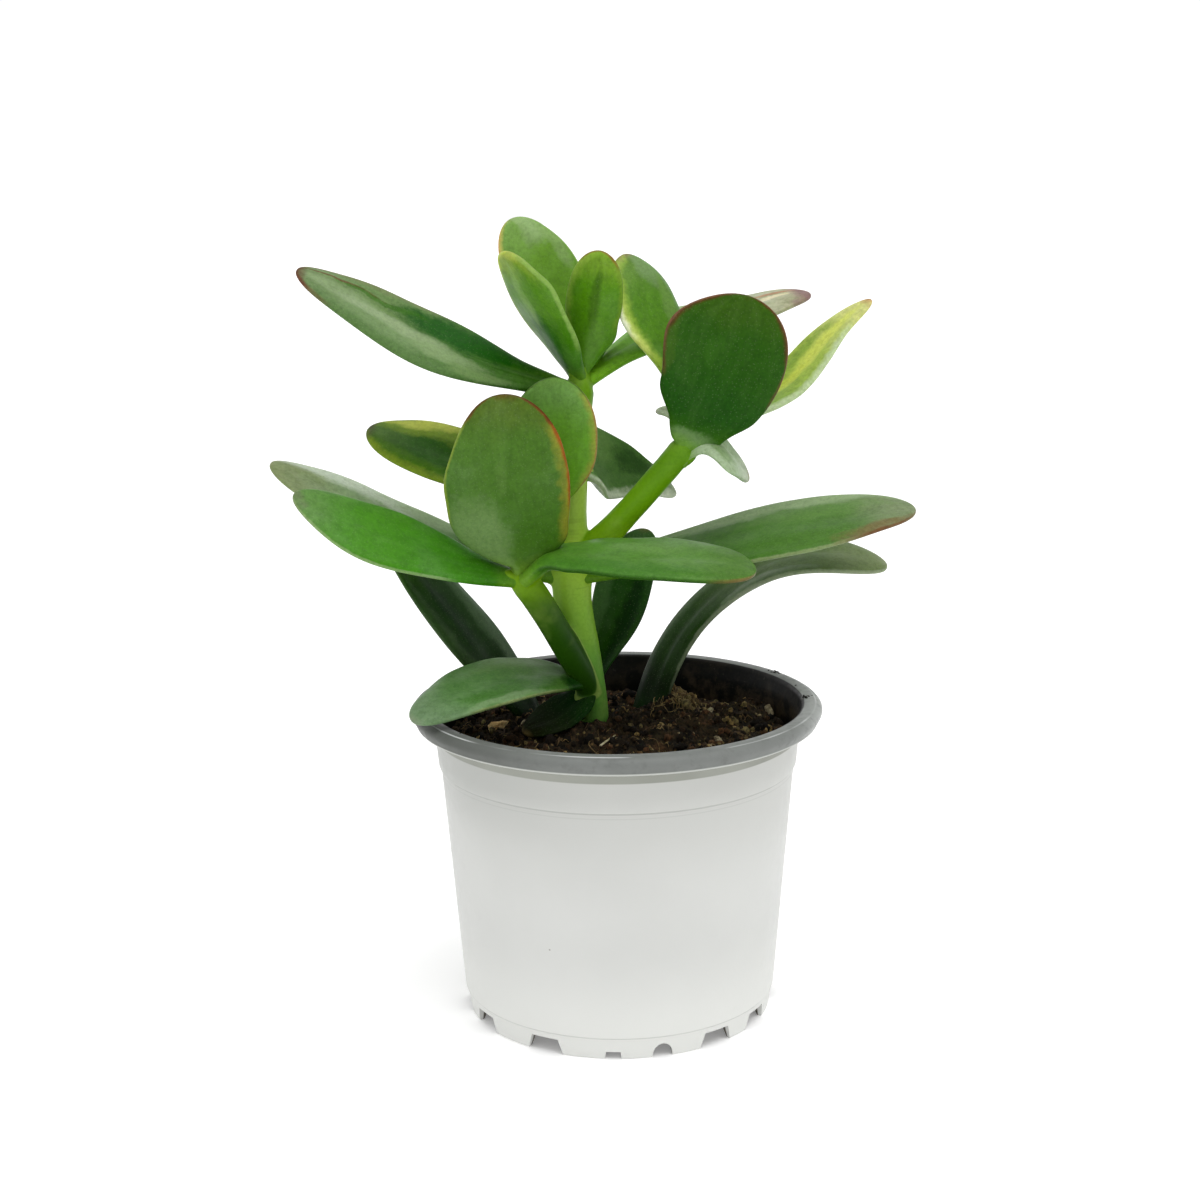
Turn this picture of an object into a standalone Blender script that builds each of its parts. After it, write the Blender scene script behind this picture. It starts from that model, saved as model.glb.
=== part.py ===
"""A jade plant in a thermoformed nursery pot: pot, soil, forked stem, one solid for each leaf and three
pieces of litter on the soil. Lengths are in millimetres and angles in degrees until a mesh is made."""

import math
import random

import bmesh
import bpy
from mathutils import Matrix, Vector

MM = 0.001
GAP = 0.35

# Place of the pot's axis, so that the origin is under the middle of the whole plant.
POT_PLACE = (6.3, 0.0)

# Nursery pot, 10.5 cm across its rim.
RIM_RADIUS = 52.5
POT_HEIGHT = 81.0
WALL = 1.0
FOOT_RADIUS = 39.4
FOOT_HEIGHT = 5.8
FOOT_LINE_RADIUS = 40.5
SHOULDER_HEIGHT = 65.0
SHOULDER_RADIUS = 45.3
SHOULDER_STEP = 0.6
NECK_RADIUS = 46.9
NECK_HEIGHT = 76.4
FLOOR_UNDERSIDE = 4.4
FLOOR_TOP = 5.4
POT_SEGMENTS = 60
NOTCH_REPEATS = 3
DRAIN_RADIUS = 3.0
DRAIN_CIRCLE = 27.0

# Soil, level about 8 mm under the rim with a mound round the stem.
SOIL_LEVEL = 72.0
SOIL_BOTTOM = FLOOR_TOP + GAP
SOIL_SEGMENTS = 44
SOIL_RINGS = 9
MOUND_HEIGHT = 3.4
MOUND_RADIUS = 21.0
LUMP_HEIGHT = 1.3
SOIL_SIDE_GAP = 0.5
LITTER_GAP = 0.6

# Plain holes in the soil where the stem and two leaves stand: radius, floor, centre, stretch along X and Y.
ROOT_HOLES = [
    ("stem_hole", 3.9, 60.0, (-4.7, 2.8), (1.0, 1.0)),
    ("right_leaf_hole", 4.6, 66.0, (8.6, 17.2), (1.5, 1.1)),
    ("left_leaf_hole", 4.4, 66.0, (-23.6, 14.8), (1.5, 1.3)),
]

# Litter on the soil: centre, size, turn about the vertical and colour.
LITTER = [
    ("bark_chip", (-31.0, 2.0), (5.2, 3.6, 2.6), 25, "bark"),
    ("straw_piece", (0.5, -15.5), (8.4, 1.1, 1.1), 62, "straw"),
    ("grit_grain", (41.0, 14.0), (3.6, 2.6, 2.0), -20, "grit"),
]

# Leaves: how many rings along a leaf and how many points round each ring.
LEAF_RINGS = 11
LEAF_AROUND = 12
MARGIN_BLUNTNESS = 2.35
ROOT_DEPTH = 1.2
SLEEVE = "stem_sleeve"
SLIVER = 0.06

COLOURS = {
    "pot_white": ((0.80, 0.80, 0.77), 0.45),
    "soil_brown": ((0.045, 0.025, 0.014), 0.95),
    "stem_green": ((0.26, 0.42, 0.04), 0.45),
    "leaf_bright": ((0.13, 0.30, 0.05), 0.38),
    "leaf_mid": ((0.08, 0.22, 0.04), 0.40),
    "leaf_dark": ((0.03, 0.10, 0.03), 0.42),
    "leaf_pale": ((0.28, 0.40, 0.24), 0.45),
    "bark": ((0.50, 0.33, 0.12), 0.85),
    "straw": ((0.62, 0.55, 0.38), 0.80),
    "grit": ((0.66, 0.60, 0.50), 0.85),
}

# Points on the stem where leaves and branches join it, from the pot's axis and the ground.
COLLAR = (-6.6, 2.0, 84.5)
LOW_NODE = (-11.1, 1.0, 112.6)
MID_NODE = (-10.9, 0.0, 136.5)
TOP_NODE = (-8.8, 0.0, 159.5)
APEX = (-8.2, 0.0, 166.0)
LEFT_NODE = (-22.8, -10.6, 114.4)
RIGHT_NODE = (17.0, -9.0, 147.0)

# Trunk and branches, from the foot up: points of the route, each with the radius there.
TRUNK = [
    ((-4.4, 3.0, 62.0), 2.7),
    ((-4.6, 2.8, 70.0), 3.0),
    ((-4.9, 2.4, 79.0), 3.1),
    ((-6.5, 2.0, 85.0), 3.8),
    ((-8.6, 1.6, 94.0), 4.4),
    ((-10.5, 1.2, 103.0), 4.8),
    ((-11.1, 1.0, 108.0), 5.0),
    ((-11.1, 1.0, 113.0), 5.3),
    ((-11.1, 0.7, 119.0), 4.4),
    ((-11.0, 0.2, 130.0), 3.9),
    ((-10.9, 0.0, 136.5), 4.2),
    ((-10.6, 0.0, 142.0), 3.8),
    ((-10.0, 0.0, 150.0), 3.7),
    ((-9.2, 0.0, 156.0), 3.8),
    ((-8.8, 0.0, 160.0), 4.0),
    ((-8.4, 0.0, 163.4), 2.9),
    ((-8.2, 0.0, 166.0), 1.6),
]
LEFT_BRANCH = [
    ((-6.6, 1.2, 83.0), 3.0),
    ((-9.4, -1.8, 89.0), 3.4),
    ((-13.1, -4.8, 96.5), 3.5),
    ((-17.3, -7.6, 104.5), 3.6),
    ((-20.6, -9.6, 110.5), 3.8),
    ((-22.8, -10.6, 114.6), 4.6),
    ((-23.1, -10.8, 118.0), 3.5),
    ((-23.2, -10.8, 120.0), 1.9),
]
RIGHT_BRANCH = [
    ((-9.5, 0.2, 118.5), 3.2),
    ((-3.4, -2.4, 123.4), 3.6),
    ((3.8, -5.0, 131.2), 3.3),
    ((10.2, -7.2, 138.8), 3.3),
    ((14.6, -8.6, 144.2), 3.4),
    ((17.0, -9.0, 147.6), 4.0),
    ((18.4, -9.0, 150.4), 3.0),
    ((19.0, -9.0, 152.4), 1.6),
]

# Outline of a leaf, as shares of its length and width: the neck at its root, the place of its widest
# point, how it tapers to the root (0.5 is round, more is slimmer), how blunt its tip is (2 is an
# ellipse, more is blunter), and its thickness.
OUTLINES = {
    "disc": {"neck": 0.16, "belly": 0.50, "taper": 0.60, "tip": 2.1, "thick": 3.7},
    "long": {"neck": 0.27, "belly": 0.56, "taper": 1.35, "tip": 1.9, "thick": 3.6},
    "spoon": {"neck": 0.24, "belly": 0.62, "taper": 1.50, "tip": 2.3, "thick": 3.5},
    "broad": {"neck": 0.33, "belly": 0.60, "taper": 1.10, "tip": 2.3, "thick": 3.6},
    "oval": {"neck": 0.24, "belly": 0.54, "taper": 1.10, "tip": 1.75, "thick": 3.5},
    "pointed": {"neck": 0.26, "belly": 0.55, "taper": 1.20, "tip": 1.20, "thick": 3.2},
    "drop": {"neck": 0.48, "belly": 0.36, "taper": 0.80, "tip": 1.00, "thick": 3.4},
    "strap": {"neck": 0.46, "belly": 0.80, "taper": 5.50, "tip": 2.3, "thick": 3.5},
    "small": {"neck": 0.42, "belly": 0.55, "taper": 0.90, "tip": 1.9, "thick": 2.4},
}


def clear_scene():
    for thing in list(bpy.data.objects):
        bpy.data.objects.remove(thing, do_unlink=True)


def material(name):
    colour, roughness = COLOURS[name]
    found = bpy.data.materials.get(name)
    if found:
        return found
    made = bpy.data.materials.new(name)
    made.use_nodes = True
    shader = made.node_tree.nodes["Principled BSDF"]
    shader.inputs["Base Color"].default_value = (*colour, 1.0)
    shader.inputs["Roughness"].default_value = roughness
    shader.inputs["Metallic"].default_value = 0.0
    return made


def object_from(name, mesh_data, colour, place, smooth=True):
    """Turns a bmesh in millimetres into a named object in metres, standing on the pot's place."""
    bmesh.ops.recalc_face_normals(mesh_data, faces=mesh_data.faces)
    bmesh.ops.scale(mesh_data, vec=(MM, MM, MM), verts=mesh_data.verts)
    mesh = bpy.data.meshes.new(name)
    mesh_data.to_mesh(mesh)
    mesh_data.free()
    if smooth:
        mesh.shade_smooth()
    made = bpy.data.objects.new(name, mesh)
    bpy.context.scene.collection.objects.link(made)
    made.data.materials.append(material(colour))
    made.parent = place
    return made


def direction(heading, rise):
    """Heading 0 is +X (right), 90 is away from the front; rise is above the horizon."""
    heading = math.radians(heading)
    rise = math.radians(rise)
    return Vector((math.cos(heading) * math.cos(rise), math.sin(heading) * math.cos(rise), math.sin(rise)))


def closed_rings(mesh_data, rings, first_pole, last_pole):
    """Skins rings of points into one closed body with a pole at each end."""
    loops = [[mesh_data.verts.new(point) for point in ring] for ring in rings]
    count = len(loops[0])
    for lower, upper in zip(loops, loops[1:]):
        for index in range(count):
            after = (index + 1) % count
            mesh_data.faces.new((lower[index], lower[after], upper[after], upper[index]))
    for pole_point, loop in ((first_pole, loops[0]), (last_pole, loops[-1])):
        pole = mesh_data.verts.new(pole_point)
        for index in range(count):
            mesh_data.faces.new((pole, loop[index], loop[(index + 1) % count]))


def smooth_step(value):
    value = min(1.0, max(0.0, value))
    return value * value * (3.0 - 2.0 * value)


def helper_group(name, helpers):
    """Puts helper objects in a collection of their own, out of the finished model."""
    group = bpy.data.collections.new(name)
    bpy.context.scene.collection.children.link(group)
    for helper in helpers:
        bpy.context.scene.collection.objects.unlink(helper)
        group.objects.link(helper)
        helper.hide_render = True
        helper.display_type = "WIRE"
    return group


def remove_helpers(group):
    for helper in list(group.objects):
        bpy.data.objects.remove(helper, do_unlink=True)
    bpy.data.collections.remove(group)


def apply_boolean(target, group, operation):
    """One Boolean with a collection of helpers, applied."""
    modifier = target.modifiers.new(operation.lower(), "BOOLEAN")
    modifier.operation = operation
    modifier.operand_type = "COLLECTION"
    modifier.collection = group
    modifier.solver = "EXACT"
    bpy.context.view_layer.update()
    graph = bpy.context.evaluated_depsgraph_get()
    result = bpy.data.meshes.new_from_object(target.evaluated_get(graph))
    target.modifiers.clear()
    target.data = result


def prism(name, outline, low, high, turn, place):
    """A prism from an outline in X and Z, from low to high along Y, turned about the pot's axis."""
    mesh_data = bmesh.new()
    front = [mesh_data.verts.new((x, low, z)) for x, z in outline]
    back = [mesh_data.verts.new((x, high, z)) for x, z in outline]
    count = len(outline)
    mesh_data.faces.new(front)
    mesh_data.faces.new(reversed(back))
    for index in range(count):
        after = (index + 1) % count
        mesh_data.faces.new((front[after], front[index], back[index], back[after]))
    turned = Matrix.Rotation(math.radians(turn), 3, "Z")
    bmesh.ops.rotate(mesh_data, verts=mesh_data.verts, cent=(0, 0, 0), matrix=turned)
    return object_from(name, mesh_data, "pot_white", place, smooth=False)


def drum(name, radius, low, high, centre, place, sides=16, stretch=(1.0, 1.0)):
    """An upright cylinder, or an oval one, between two heights."""
    mesh_data = bmesh.new()
    bmesh.ops.create_cone(
        mesh_data,
        cap_ends=True,
        segments=sides,
        radius1=radius,
        radius2=radius,
        depth=high - low,
        matrix=Matrix.Translation((centre[0], centre[1], (low + high) / 2))
        @ Matrix.Diagonal((stretch[0], stretch[1], 1.0, 1.0)),
    )
    return object_from(name, mesh_data, "pot_white", place, smooth=False)


def inner_radius(height):
    """Inside of the pot's wall at a height."""
    if height < SHOULDER_HEIGHT:
        share = (height - FOOT_HEIGHT) / (SHOULDER_HEIGHT - FOOT_HEIGHT)
        outer = FOOT_LINE_RADIUS + (SHOULDER_RADIUS - FOOT_LINE_RADIUS) * share
    else:
        share = (height - SHOULDER_HEIGHT) / (NECK_HEIGHT - SHOULDER_HEIGHT)
        outer = SHOULDER_RADIUS + (NECK_RADIUS - SHOULDER_RADIUS) * share
    return outer - WALL


def pot_profile():
    """The wall's outline as radius and height: under the floor, up the outside, down the inside."""
    rim = RIM_RADIUS
    top = POT_HEIGHT
    outside = [
        (FOOT_RADIUS - 2.6, FLOOR_UNDERSIDE),
        (FOOT_RADIUS - 1.2, 0.0),
        (FOOT_RADIUS, 0.0),
        (FOOT_LINE_RADIUS - 0.35, FOOT_HEIGHT - 0.5),
        (FOOT_LINE_RADIUS, FOOT_HEIGHT),
        (SHOULDER_RADIUS, SHOULDER_HEIGHT),
        (SHOULDER_RADIUS + SHOULDER_STEP, SHOULDER_HEIGHT + 0.7),
        (NECK_RADIUS, NECK_HEIGHT),
    ]
    roll = [
        (rim - 3.6, NECK_HEIGHT + 0.7),
        (rim - 2.3, NECK_HEIGHT + 0.1),
        (rim - 0.9, NECK_HEIGHT + 0.6),
        (rim, NECK_HEIGHT + 2.6),
        (rim - 0.5, top - 0.8),
        (rim - 2.2, top),
        (rim - 4.4, top - 0.5),
        (rim - 5.8, top - 2.0),
    ]
    inside = [
        (inner_radius(SHOULDER_HEIGHT), SHOULDER_HEIGHT),
        (inner_radius(FOOT_HEIGHT) - 0.3, FOOT_HEIGHT + 1.4),
        (inner_radius(FOOT_HEIGHT) - 1.5, FLOOR_TOP),
    ]
    return outside + roll + inside


def build_pot(place):
    """The thin-walled pot: rolled rim, stacking shoulder, raised floor with drain holes, notched foot."""
    mesh_data = bmesh.new()
    profile = pot_profile()
    rings = []
    for radius, height in profile:
        ring = []
        for index in range(POT_SEGMENTS):
            angle = 2 * math.pi * index / POT_SEGMENTS
            ring.append((radius * math.cos(angle), radius * math.sin(angle), height))
        rings.append(ring)
    closed_rings(mesh_data, rings, (0, 0, FLOOR_UNDERSIDE), (0, 0, FLOOR_TOP))
    pot = object_from("pot", mesh_data, "pot_white", place)

    wide = [(-4.8, -1.0), (4.8, -1.0), (2.9, 4.1), (-2.9, 4.1)]
    small = [(-2.2, -1.0), (2.2, -1.0), (1.8, 2.0), (-1.8, 2.0)]
    arch = [(-2.7, -1.0), (2.7, -1.0), (2.4, 1.8), (1.4, 3.2), (0.0, 3.7), (-1.4, 3.2), (-2.4, 1.8)]
    # Angles from the front, positive to the right. The same five notches come round three times.
    notches = [(-59.0, wide), (-28.0, wide), (-2.4, small), (15.5, arch), (37.5, wide)]
    cutters = []
    for repeat in range(NOTCH_REPEATS):
        for number, (angle, outline) in enumerate(notches):
            turn = angle + repeat * 360.0 / NOTCH_REPEATS
            name = f"notch_{repeat}_{number}"
            cutters.append(prism(name, outline, -FOOT_RADIUS - 3.0, -FOOT_RADIUS + 4.5, turn, place))
    for number in range(6):
        angle = math.radians(60 * number + 15)
        centre = (DRAIN_CIRCLE * math.cos(angle), DRAIN_CIRCLE * math.sin(angle))
        name = f"drain_{number}"
        cutters.append(drum(name, DRAIN_RADIUS, FLOOR_UNDERSIDE - 2, FLOOR_TOP + 2, centre, place, 12))
    group = helper_group("pot_cutters", cutters)
    apply_boolean(pot, group, "DIFFERENCE")
    remove_helpers(group)
    pot.data.shade_smooth()
    pot.data.set_sharp_from_angle(angle=math.radians(40))
    return pot


def soil_height(x, y):
    """Level of the soil: a low mound round the stem with lumps, sinking a little towards the wall."""
    from_stem = math.hypot(x - COLLAR[0], y - COLLAR[1] - 2.0)
    mound = MOUND_HEIGHT * math.exp(-((from_stem / MOUND_RADIUS) ** 2))
    right_heap = 2.6 * math.exp(-(((x - 20.0) / 13.0) ** 2) - (((y - 6.0) / 12.0) ** 2))
    lumps = LUMP_HEIGHT * math.sin(0.31 * x + 0.9) * math.sin(0.27 * y + 0.4)
    grain = 0.55 * math.sin(0.83 * x + 0.5 * y) * math.sin(0.71 * y - 0.4 * x + 1.1)
    edge = math.hypot(x, y) / inner_radius(SOIL_LEVEL)
    return SOIL_LEVEL + mound + right_heap + (lumps + grain) * (1.0 - 0.6 * edge**4) - 0.8 * edge**6


def build_soil(place):
    """One body of soil that fills the pot, with plain holes where the stem and a leaf stand in it."""
    rings = []
    for height in (SOIL_BOTTOM, 40.0, SOIL_LEVEL - 3.5):
        radius = inner_radius(height) - SOIL_SIDE_GAP
        if height == SOIL_BOTTOM:
            radius = inner_radius(FOOT_HEIGHT) - 2.4
        rings.append((radius, height))
    mesh_data = bmesh.new()
    loops = []
    for radius, height in rings:
        loop = []
        for index in range(SOIL_SEGMENTS):
            angle = 2 * math.pi * index / SOIL_SEGMENTS
            loop.append((radius * math.cos(angle), radius * math.sin(angle), height))
        loops.append(loop)
    edge = inner_radius(SOIL_LEVEL - 3.5) - SOIL_SIDE_GAP
    for ring in range(SOIL_RINGS):
        radius = edge * (SOIL_RINGS - ring) / (SOIL_RINGS + 0.4)
        if ring == 0:
            radius = edge - 0.3
        loop = []
        for index in range(SOIL_SEGMENTS):
            angle = 2 * math.pi * index / SOIL_SEGMENTS
            x, y = radius * math.cos(angle), radius * math.sin(angle)
            loop.append((x, y, soil_height(x, y)))
        loops.append(loop)
    closed_rings(mesh_data, loops, (0, 0, SOIL_BOTTOM), (0, 0, soil_height(0, 0)))
    soil = object_from("soil", mesh_data, "soil_brown", place)
    cutters = [
        drum(name, radius, low, POT_HEIGHT + 10, centre, place, 16, stretch)
        for name, radius, low, centre, stretch in ROOT_HOLES
    ]
    group = helper_group("soil_cutters", cutters)
    apply_boolean(soil, group, "DIFFERENCE")
    remove_helpers(group)
    soil.data.shade_smooth()
    return soil


def branch(name, route, place, growth=0.0, sides=12):
    """A tapered round branch along a route of points with a radius each, all radii larger by growth."""
    points = [Vector(point) for point, _ in route]
    radii = [radius + growth for _, radius in route]
    side = Vector((1, 0, 0))
    rings = []
    for index, (point, radius) in enumerate(zip(points, radii)):
        before = points[max(index - 1, 0)]
        after = points[min(index + 1, len(points) - 1)]
        along = (after - before).normalized()
        side = (side - along * side.dot(along)).normalized()
        other = along.cross(side)
        ring = []
        for corner in range(sides):
            angle = 2 * math.pi * corner / sides
            ring.append(point + (side * math.cos(angle) + other * math.sin(angle)) * radius)
        rings.append(ring)
    first = points[0] - (points[1] - points[0]).normalized() * radii[0] * 0.35
    last = points[-1] + (points[-1] - points[-2]).normalized() * (radii[-1] * 0.6 + growth)
    mesh_data = bmesh.new()
    closed_rings(mesh_data, rings, first, last)
    return object_from(name, mesh_data, "stem_green", place)


def build_stem(place):
    """Trunk with a left and a right branch, grown as one piece, its foot sunk in the soil."""
    trunk = branch("stem", TRUNK, place)
    branches = [branch("left_branch", LEFT_BRANCH, place), branch("right_branch", RIGHT_BRANCH, place)]
    group = helper_group("stem_branches", branches)
    apply_boolean(trunk, group, "UNION")
    remove_helpers(group)
    trunk.data.shade_smooth()
    return trunk


def grown_copy(solid):
    """A helper that is the solid grown by the gap on all sides."""
    mesh_data = bmesh.new()
    mesh_data.from_mesh(solid.data)
    mesh_data.normal_update()
    moves = [(vertex, vertex.co + vertex.normal * GAP * MM) for vertex in mesh_data.verts]
    for vertex, grown in moves:
        vertex.co = grown
    mesh = bpy.data.meshes.new(solid.name + "_sleeve")
    mesh_data.to_mesh(mesh)
    mesh_data.free()
    helper = bpy.data.objects.new(mesh.name, mesh)
    bpy.context.scene.collection.objects.link(helper)
    helper.parent = solid.parent
    return helper


def keep_largest_body(solid):
    """Drops the loose end that a trim can leave on the far side of a neighbour, and slivers at its edge."""
    mesh_data = bmesh.new()
    mesh_data.from_mesh(solid.data)
    bmesh.ops.remove_doubles(mesh_data, verts=mesh_data.verts, dist=SLIVER * MM)
    bmesh.ops.triangulate(mesh_data, faces=mesh_data.faces)
    bmesh.ops.dissolve_degenerate(mesh_data, edges=mesh_data.edges, dist=SLIVER * MM)
    waiting = set(mesh_data.verts)
    bodies = []
    while waiting:
        body = set()
        edge = [waiting.pop()]
        while edge:
            vertex = edge.pop()
            body.add(vertex)
            for link in vertex.link_edges:
                other = link.other_vert(vertex)
                if other in waiting:
                    waiting.discard(other)
                    edge.append(other)
        bodies.append(body)
    bodies.sort(key=len)
    loose = [vertex for body in bodies[:-1] for vertex in body]
    bmesh.ops.delete(mesh_data, geom=loose, context="VERTS")
    mesh_data.to_mesh(solid.data)
    mesh_data.free()


def half_width(share, outline):
    """Half the leaf's width at a share of its length, as a share of the widest."""
    belly = outline["belly"]
    if share < belly:
        grown = (1.0 - (1.0 - share / belly) ** 2) ** outline["taper"]
        return outline["neck"] + (1.0 - outline["neck"]) * grown
    past = (share - belly) / (1.0 - belly)
    return math.sqrt(max(0.0, 1.0 - past ** outline["tip"]))


def half_thickness(share, outline, neck_thick):
    belly = outline["belly"]
    if share < belly:
        grown = smooth_step(share / belly)
        return (neck_thick * (1.0 - grown) + outline["thick"] * grown) / 2
    return outline["thick"] / 2 * half_width(share, outline) ** 0.6


def build_leaf(
    name, place, joint, start, tip, faces, width, kind, colour,
    bow=0.45, cup=0.8, twist=0.0, seat=None, sink=None, beside=(),
):
    """A succulent leaf. It leaves the stem at its joint in the start direction (heading, rise), bends over to
    its tip, and its upper face looks along faces (heading, rise). cup lifts both margins, twist turns the
    blade on its way to the tip, seat is the rise of the joint's own face where it differs from the leaf's,
    sink is the root of a leaf that stands in the soil, and beside names the leaves that its root makes
    room for."""
    outline = OUTLINES[kind]
    leaving = direction(*start)
    outward = direction(start[0], start[1] if seat is None else seat)
    root = Vector(joint[:3]) + outward * (joint[3] - ROOT_DEPTH)
    if sink is not None:
        root = Vector(sink)
    tip = Vector(tip)
    elbow = root + leaving * (tip - root).length * bow
    upward = direction(*faces)
    neck_thick = min(3.4, width * 0.2)
    rings = []
    for number in range(1, LEAF_RINGS + 1):
        share = (1.0 - math.cos(math.pi * number / (LEAF_RINGS + 1))) / 2
        middle = root * (1 - share) ** 2 + elbow * 2 * share * (1 - share) + tip * share**2
        along = ((elbow - root) * (1 - share) + (tip - elbow) * share).normalized()
        face = (upward - along * upward.dot(along)).normalized()
        face = Matrix.Rotation(math.radians(twist) * (share - 0.5), 3, along) @ face
        side = along.cross(face)
        wide = width / 2 * half_width(share, outline)
        thick = half_thickness(share, outline, neck_thick)
        lift = cup * smooth_step(share * 2.2) * smooth_step((1 - share) * 3.0)
        ring = []
        for corner in range(LEAF_AROUND):
            angle = 2 * math.pi * corner / LEAF_AROUND
            c, s = math.cos(angle), math.sin(angle)
            across = math.copysign(abs(c) ** (2 / MARGIN_BLUNTNESS), c)
            through = math.copysign(abs(s) ** (2 / MARGIN_BLUNTNESS), s)
            raised = thick * through + lift * (across * across - 0.5)
            ring.append(middle + side * wide * across + face * raised)
        rings.append(ring)
    mesh_data = bmesh.new()
    closed_rings(mesh_data, rings, root, tip)
    leaf = object_from(name, mesh_data, colour, place)
    if sink is None:
        apply_boolean(leaf, bpy.data.collections[SLEEVE], "DIFFERENCE")
    if beside:
        group = helper_group(name + "_neighbours", [grown_copy(bpy.data.objects[other]) for other in beside])
        apply_boolean(leaf, group, "DIFFERENCE")
        remove_helpers(group)
    keep_largest_body(leaf)
    leaf.data.shade_smooth()
    return leaf


def build_leaves(place):
    """Every leaf of the plant, from the top of the trunk down. A sleeve round the stem trims their roots."""
    sleeve = helper_group(
        SLEEVE,
        [
            branch("trunk_sleeve", TRUNK, place, GAP),
            branch("left_sleeve", LEFT_BRANCH, place, GAP),
            branch("right_sleeve", RIGHT_BRANCH, place, GAP),
        ],
    )
    top = (*TOP_NODE, 3.9)
    top_right = (TOP_NODE[0], TOP_NODE[1], TOP_NODE[2] + 1.6, 3.4)
    upper = (TOP_NODE[0] + 0.2, TOP_NODE[1], TOP_NODE[2] + 3.2, 2.9)
    apex = (APEX[0], APEX[1], APEX[2] - 1.4, 1.6)
    mid = (*MID_NODE, 4.1)
    mid_back = (MID_NODE[0], MID_NODE[1], MID_NODE[2] + 3.0, 3.9)
    low = (*LOW_NODE, 5.1)
    left = (*LEFT_NODE, 4.5)
    left_upper = (LEFT_NODE[0] - 0.3, LEFT_NODE[1] - 0.1, LEFT_NODE[2] + 4.6, 2.6)
    right = (*RIGHT_NODE, 3.9)
    right_lower = (RIGHT_NODE[0] - 1.2, RIGHT_NODE[1], RIGHT_NODE[2] - 4.0, 3.4)
    right_upper = (RIGHT_NODE[0] + 1.2, RIGHT_NODE[1], RIGHT_NODE[2] + 2.8, 3.0)
    collar = (*COLLAR, 4.4)
    collar_upper = (COLLAR[0] - 0.6, COLLAR[1], COLLAR[2] + 3.0, 4.2)

    # Tuft at the top of the trunk.
    build_leaf(
        "leaf_top_left", place, top, (186, 18), (-76, -10, 191), (292, 54), 18.5,
        "long", "leaf_mid", cup=1.0,
    )
    build_leaf(
        "leaf_top_right", place, top_right, (38, 24), (50.8, 25, 181.4), (270, 76), 19,
        "spoon", "leaf_bright",
    )
    build_leaf(
        "leaf_top_back", place, upper, (98, 52), (-26.2, 16, 201.5), (285, 12), 19,
        "spoon", "leaf_bright",
        beside=("leaf_top_right",),
    )
    build_leaf(
        "leaf_top_front_left", place, upper, (225, 66), (-25.4, -15, 195), (34, 22), 20.5,
        "spoon", "leaf_mid",
        beside=("leaf_top_left", "leaf_top_back"),
    )
    build_leaf(
        "leaf_top_middle", place, apex, (325, 74), (-3, -9, 194.8), (80, 10), 14, "spoon", "leaf_mid",
        beside=("leaf_top_back", "leaf_top_front_left"),
    )
    build_leaf(
        "leaf_top_inner", place, apex, (38, 40), (0.8, 5, 177.7), (150, 40), 8, "small", "leaf_bright",
        beside=("leaf_top_right", "leaf_top_back", "leaf_top_front_left", "leaf_top_middle"),
    )

    # Pair half way up the trunk.
    build_leaf(
        "leaf_mid_left", place, mid, (180, 12), (-62.5, 8, 150), (282, 48), 19,
        "long", "leaf_mid",
    )
    build_leaf(
        "leaf_mid_right", place, mid_back, (62, 30), (16, 24, 129.8), (285, 38), 19, "drop", "leaf_dark",
        bow=0.35,
    )

    # Left branch: a pair that lies flat and a pair that stands up.
    build_leaf(
        "leaf_left_long", place, left, (192, 16), (-77.5, -20, 138.2), (286, 56), 18,
        "long", "leaf_bright",
    )
    build_leaf(
        "leaf_right_front", place, left, (335, 20), (33.8, -25, 118.6), (270, 77), 23.5,
        "broad", "leaf_bright",
    )
    build_leaf(
        "leaf_front_round", place, left_upper, (256, 58), (-26.2, -22, 162.2), (90, 14), 30,
        "disc", "leaf_mid",
        seat=50, beside=("leaf_left_long", "leaf_right_front"),
    )
    build_leaf(
        "leaf_left_back", place, left_upper, (50, 58), (-14, -9.5, 164.6), (268, 6), 23.5,
        "spoon", "leaf_bright",
        seat=40, beside=("leaf_right_front", "leaf_front_round", "leaf_mid_left"),
    )

    # Right branch: two large pairs and a pair of small young leaves.
    build_leaf(
        "leaf_dark_round", place, right, (330, 46), (25.4, -20, 184.8), (92, 12), 31,
        "disc", "leaf_dark",
        bow=0.5, seat=30,
    )
    build_leaf(
        "leaf_right_outer", place, right, (45, 25), (65.4, 14, 181.4), (214, 43), 19,
        "pointed", "leaf_bright",
        bow=0.4, beside=("leaf_dark_round",),
    )
    build_leaf(
        "leaf_right_inner", place, right_upper, (118, 68), (2.4, 5, 193.2), (300, 20), 18,
        "long", "leaf_bright",
        seat=25, beside=("leaf_dark_round", "leaf_right_outer"),
    )
    build_leaf(
        "leaf_small_right", place, right_lower, (352, 24), (33.2, -3, 138.3), (270, 60), 10,
        "small", "leaf_pale",
        beside=("leaf_dark_round", "leaf_right_outer"),
    )
    build_leaf(
        "leaf_small_left", place, right, (165, 40), (12.4, -3, 156.4), (270, 60), 4,
        "small", "leaf_pale",
        beside=("leaf_right_inner",),
    )

    # Long pair low on the trunk.
    build_leaf(
        "leaf_low_left", place, low, (168, 5), (-87.5, 8, 141.2), (275, 75), 24,
        "long", "leaf_pale",
    )
    build_leaf(
        "leaf_low_right", place, low, (352, 17), (74.8, -4, 129.3), (272, 72), 27,
        "long", "leaf_mid", bow=0.54,
    )

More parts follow.
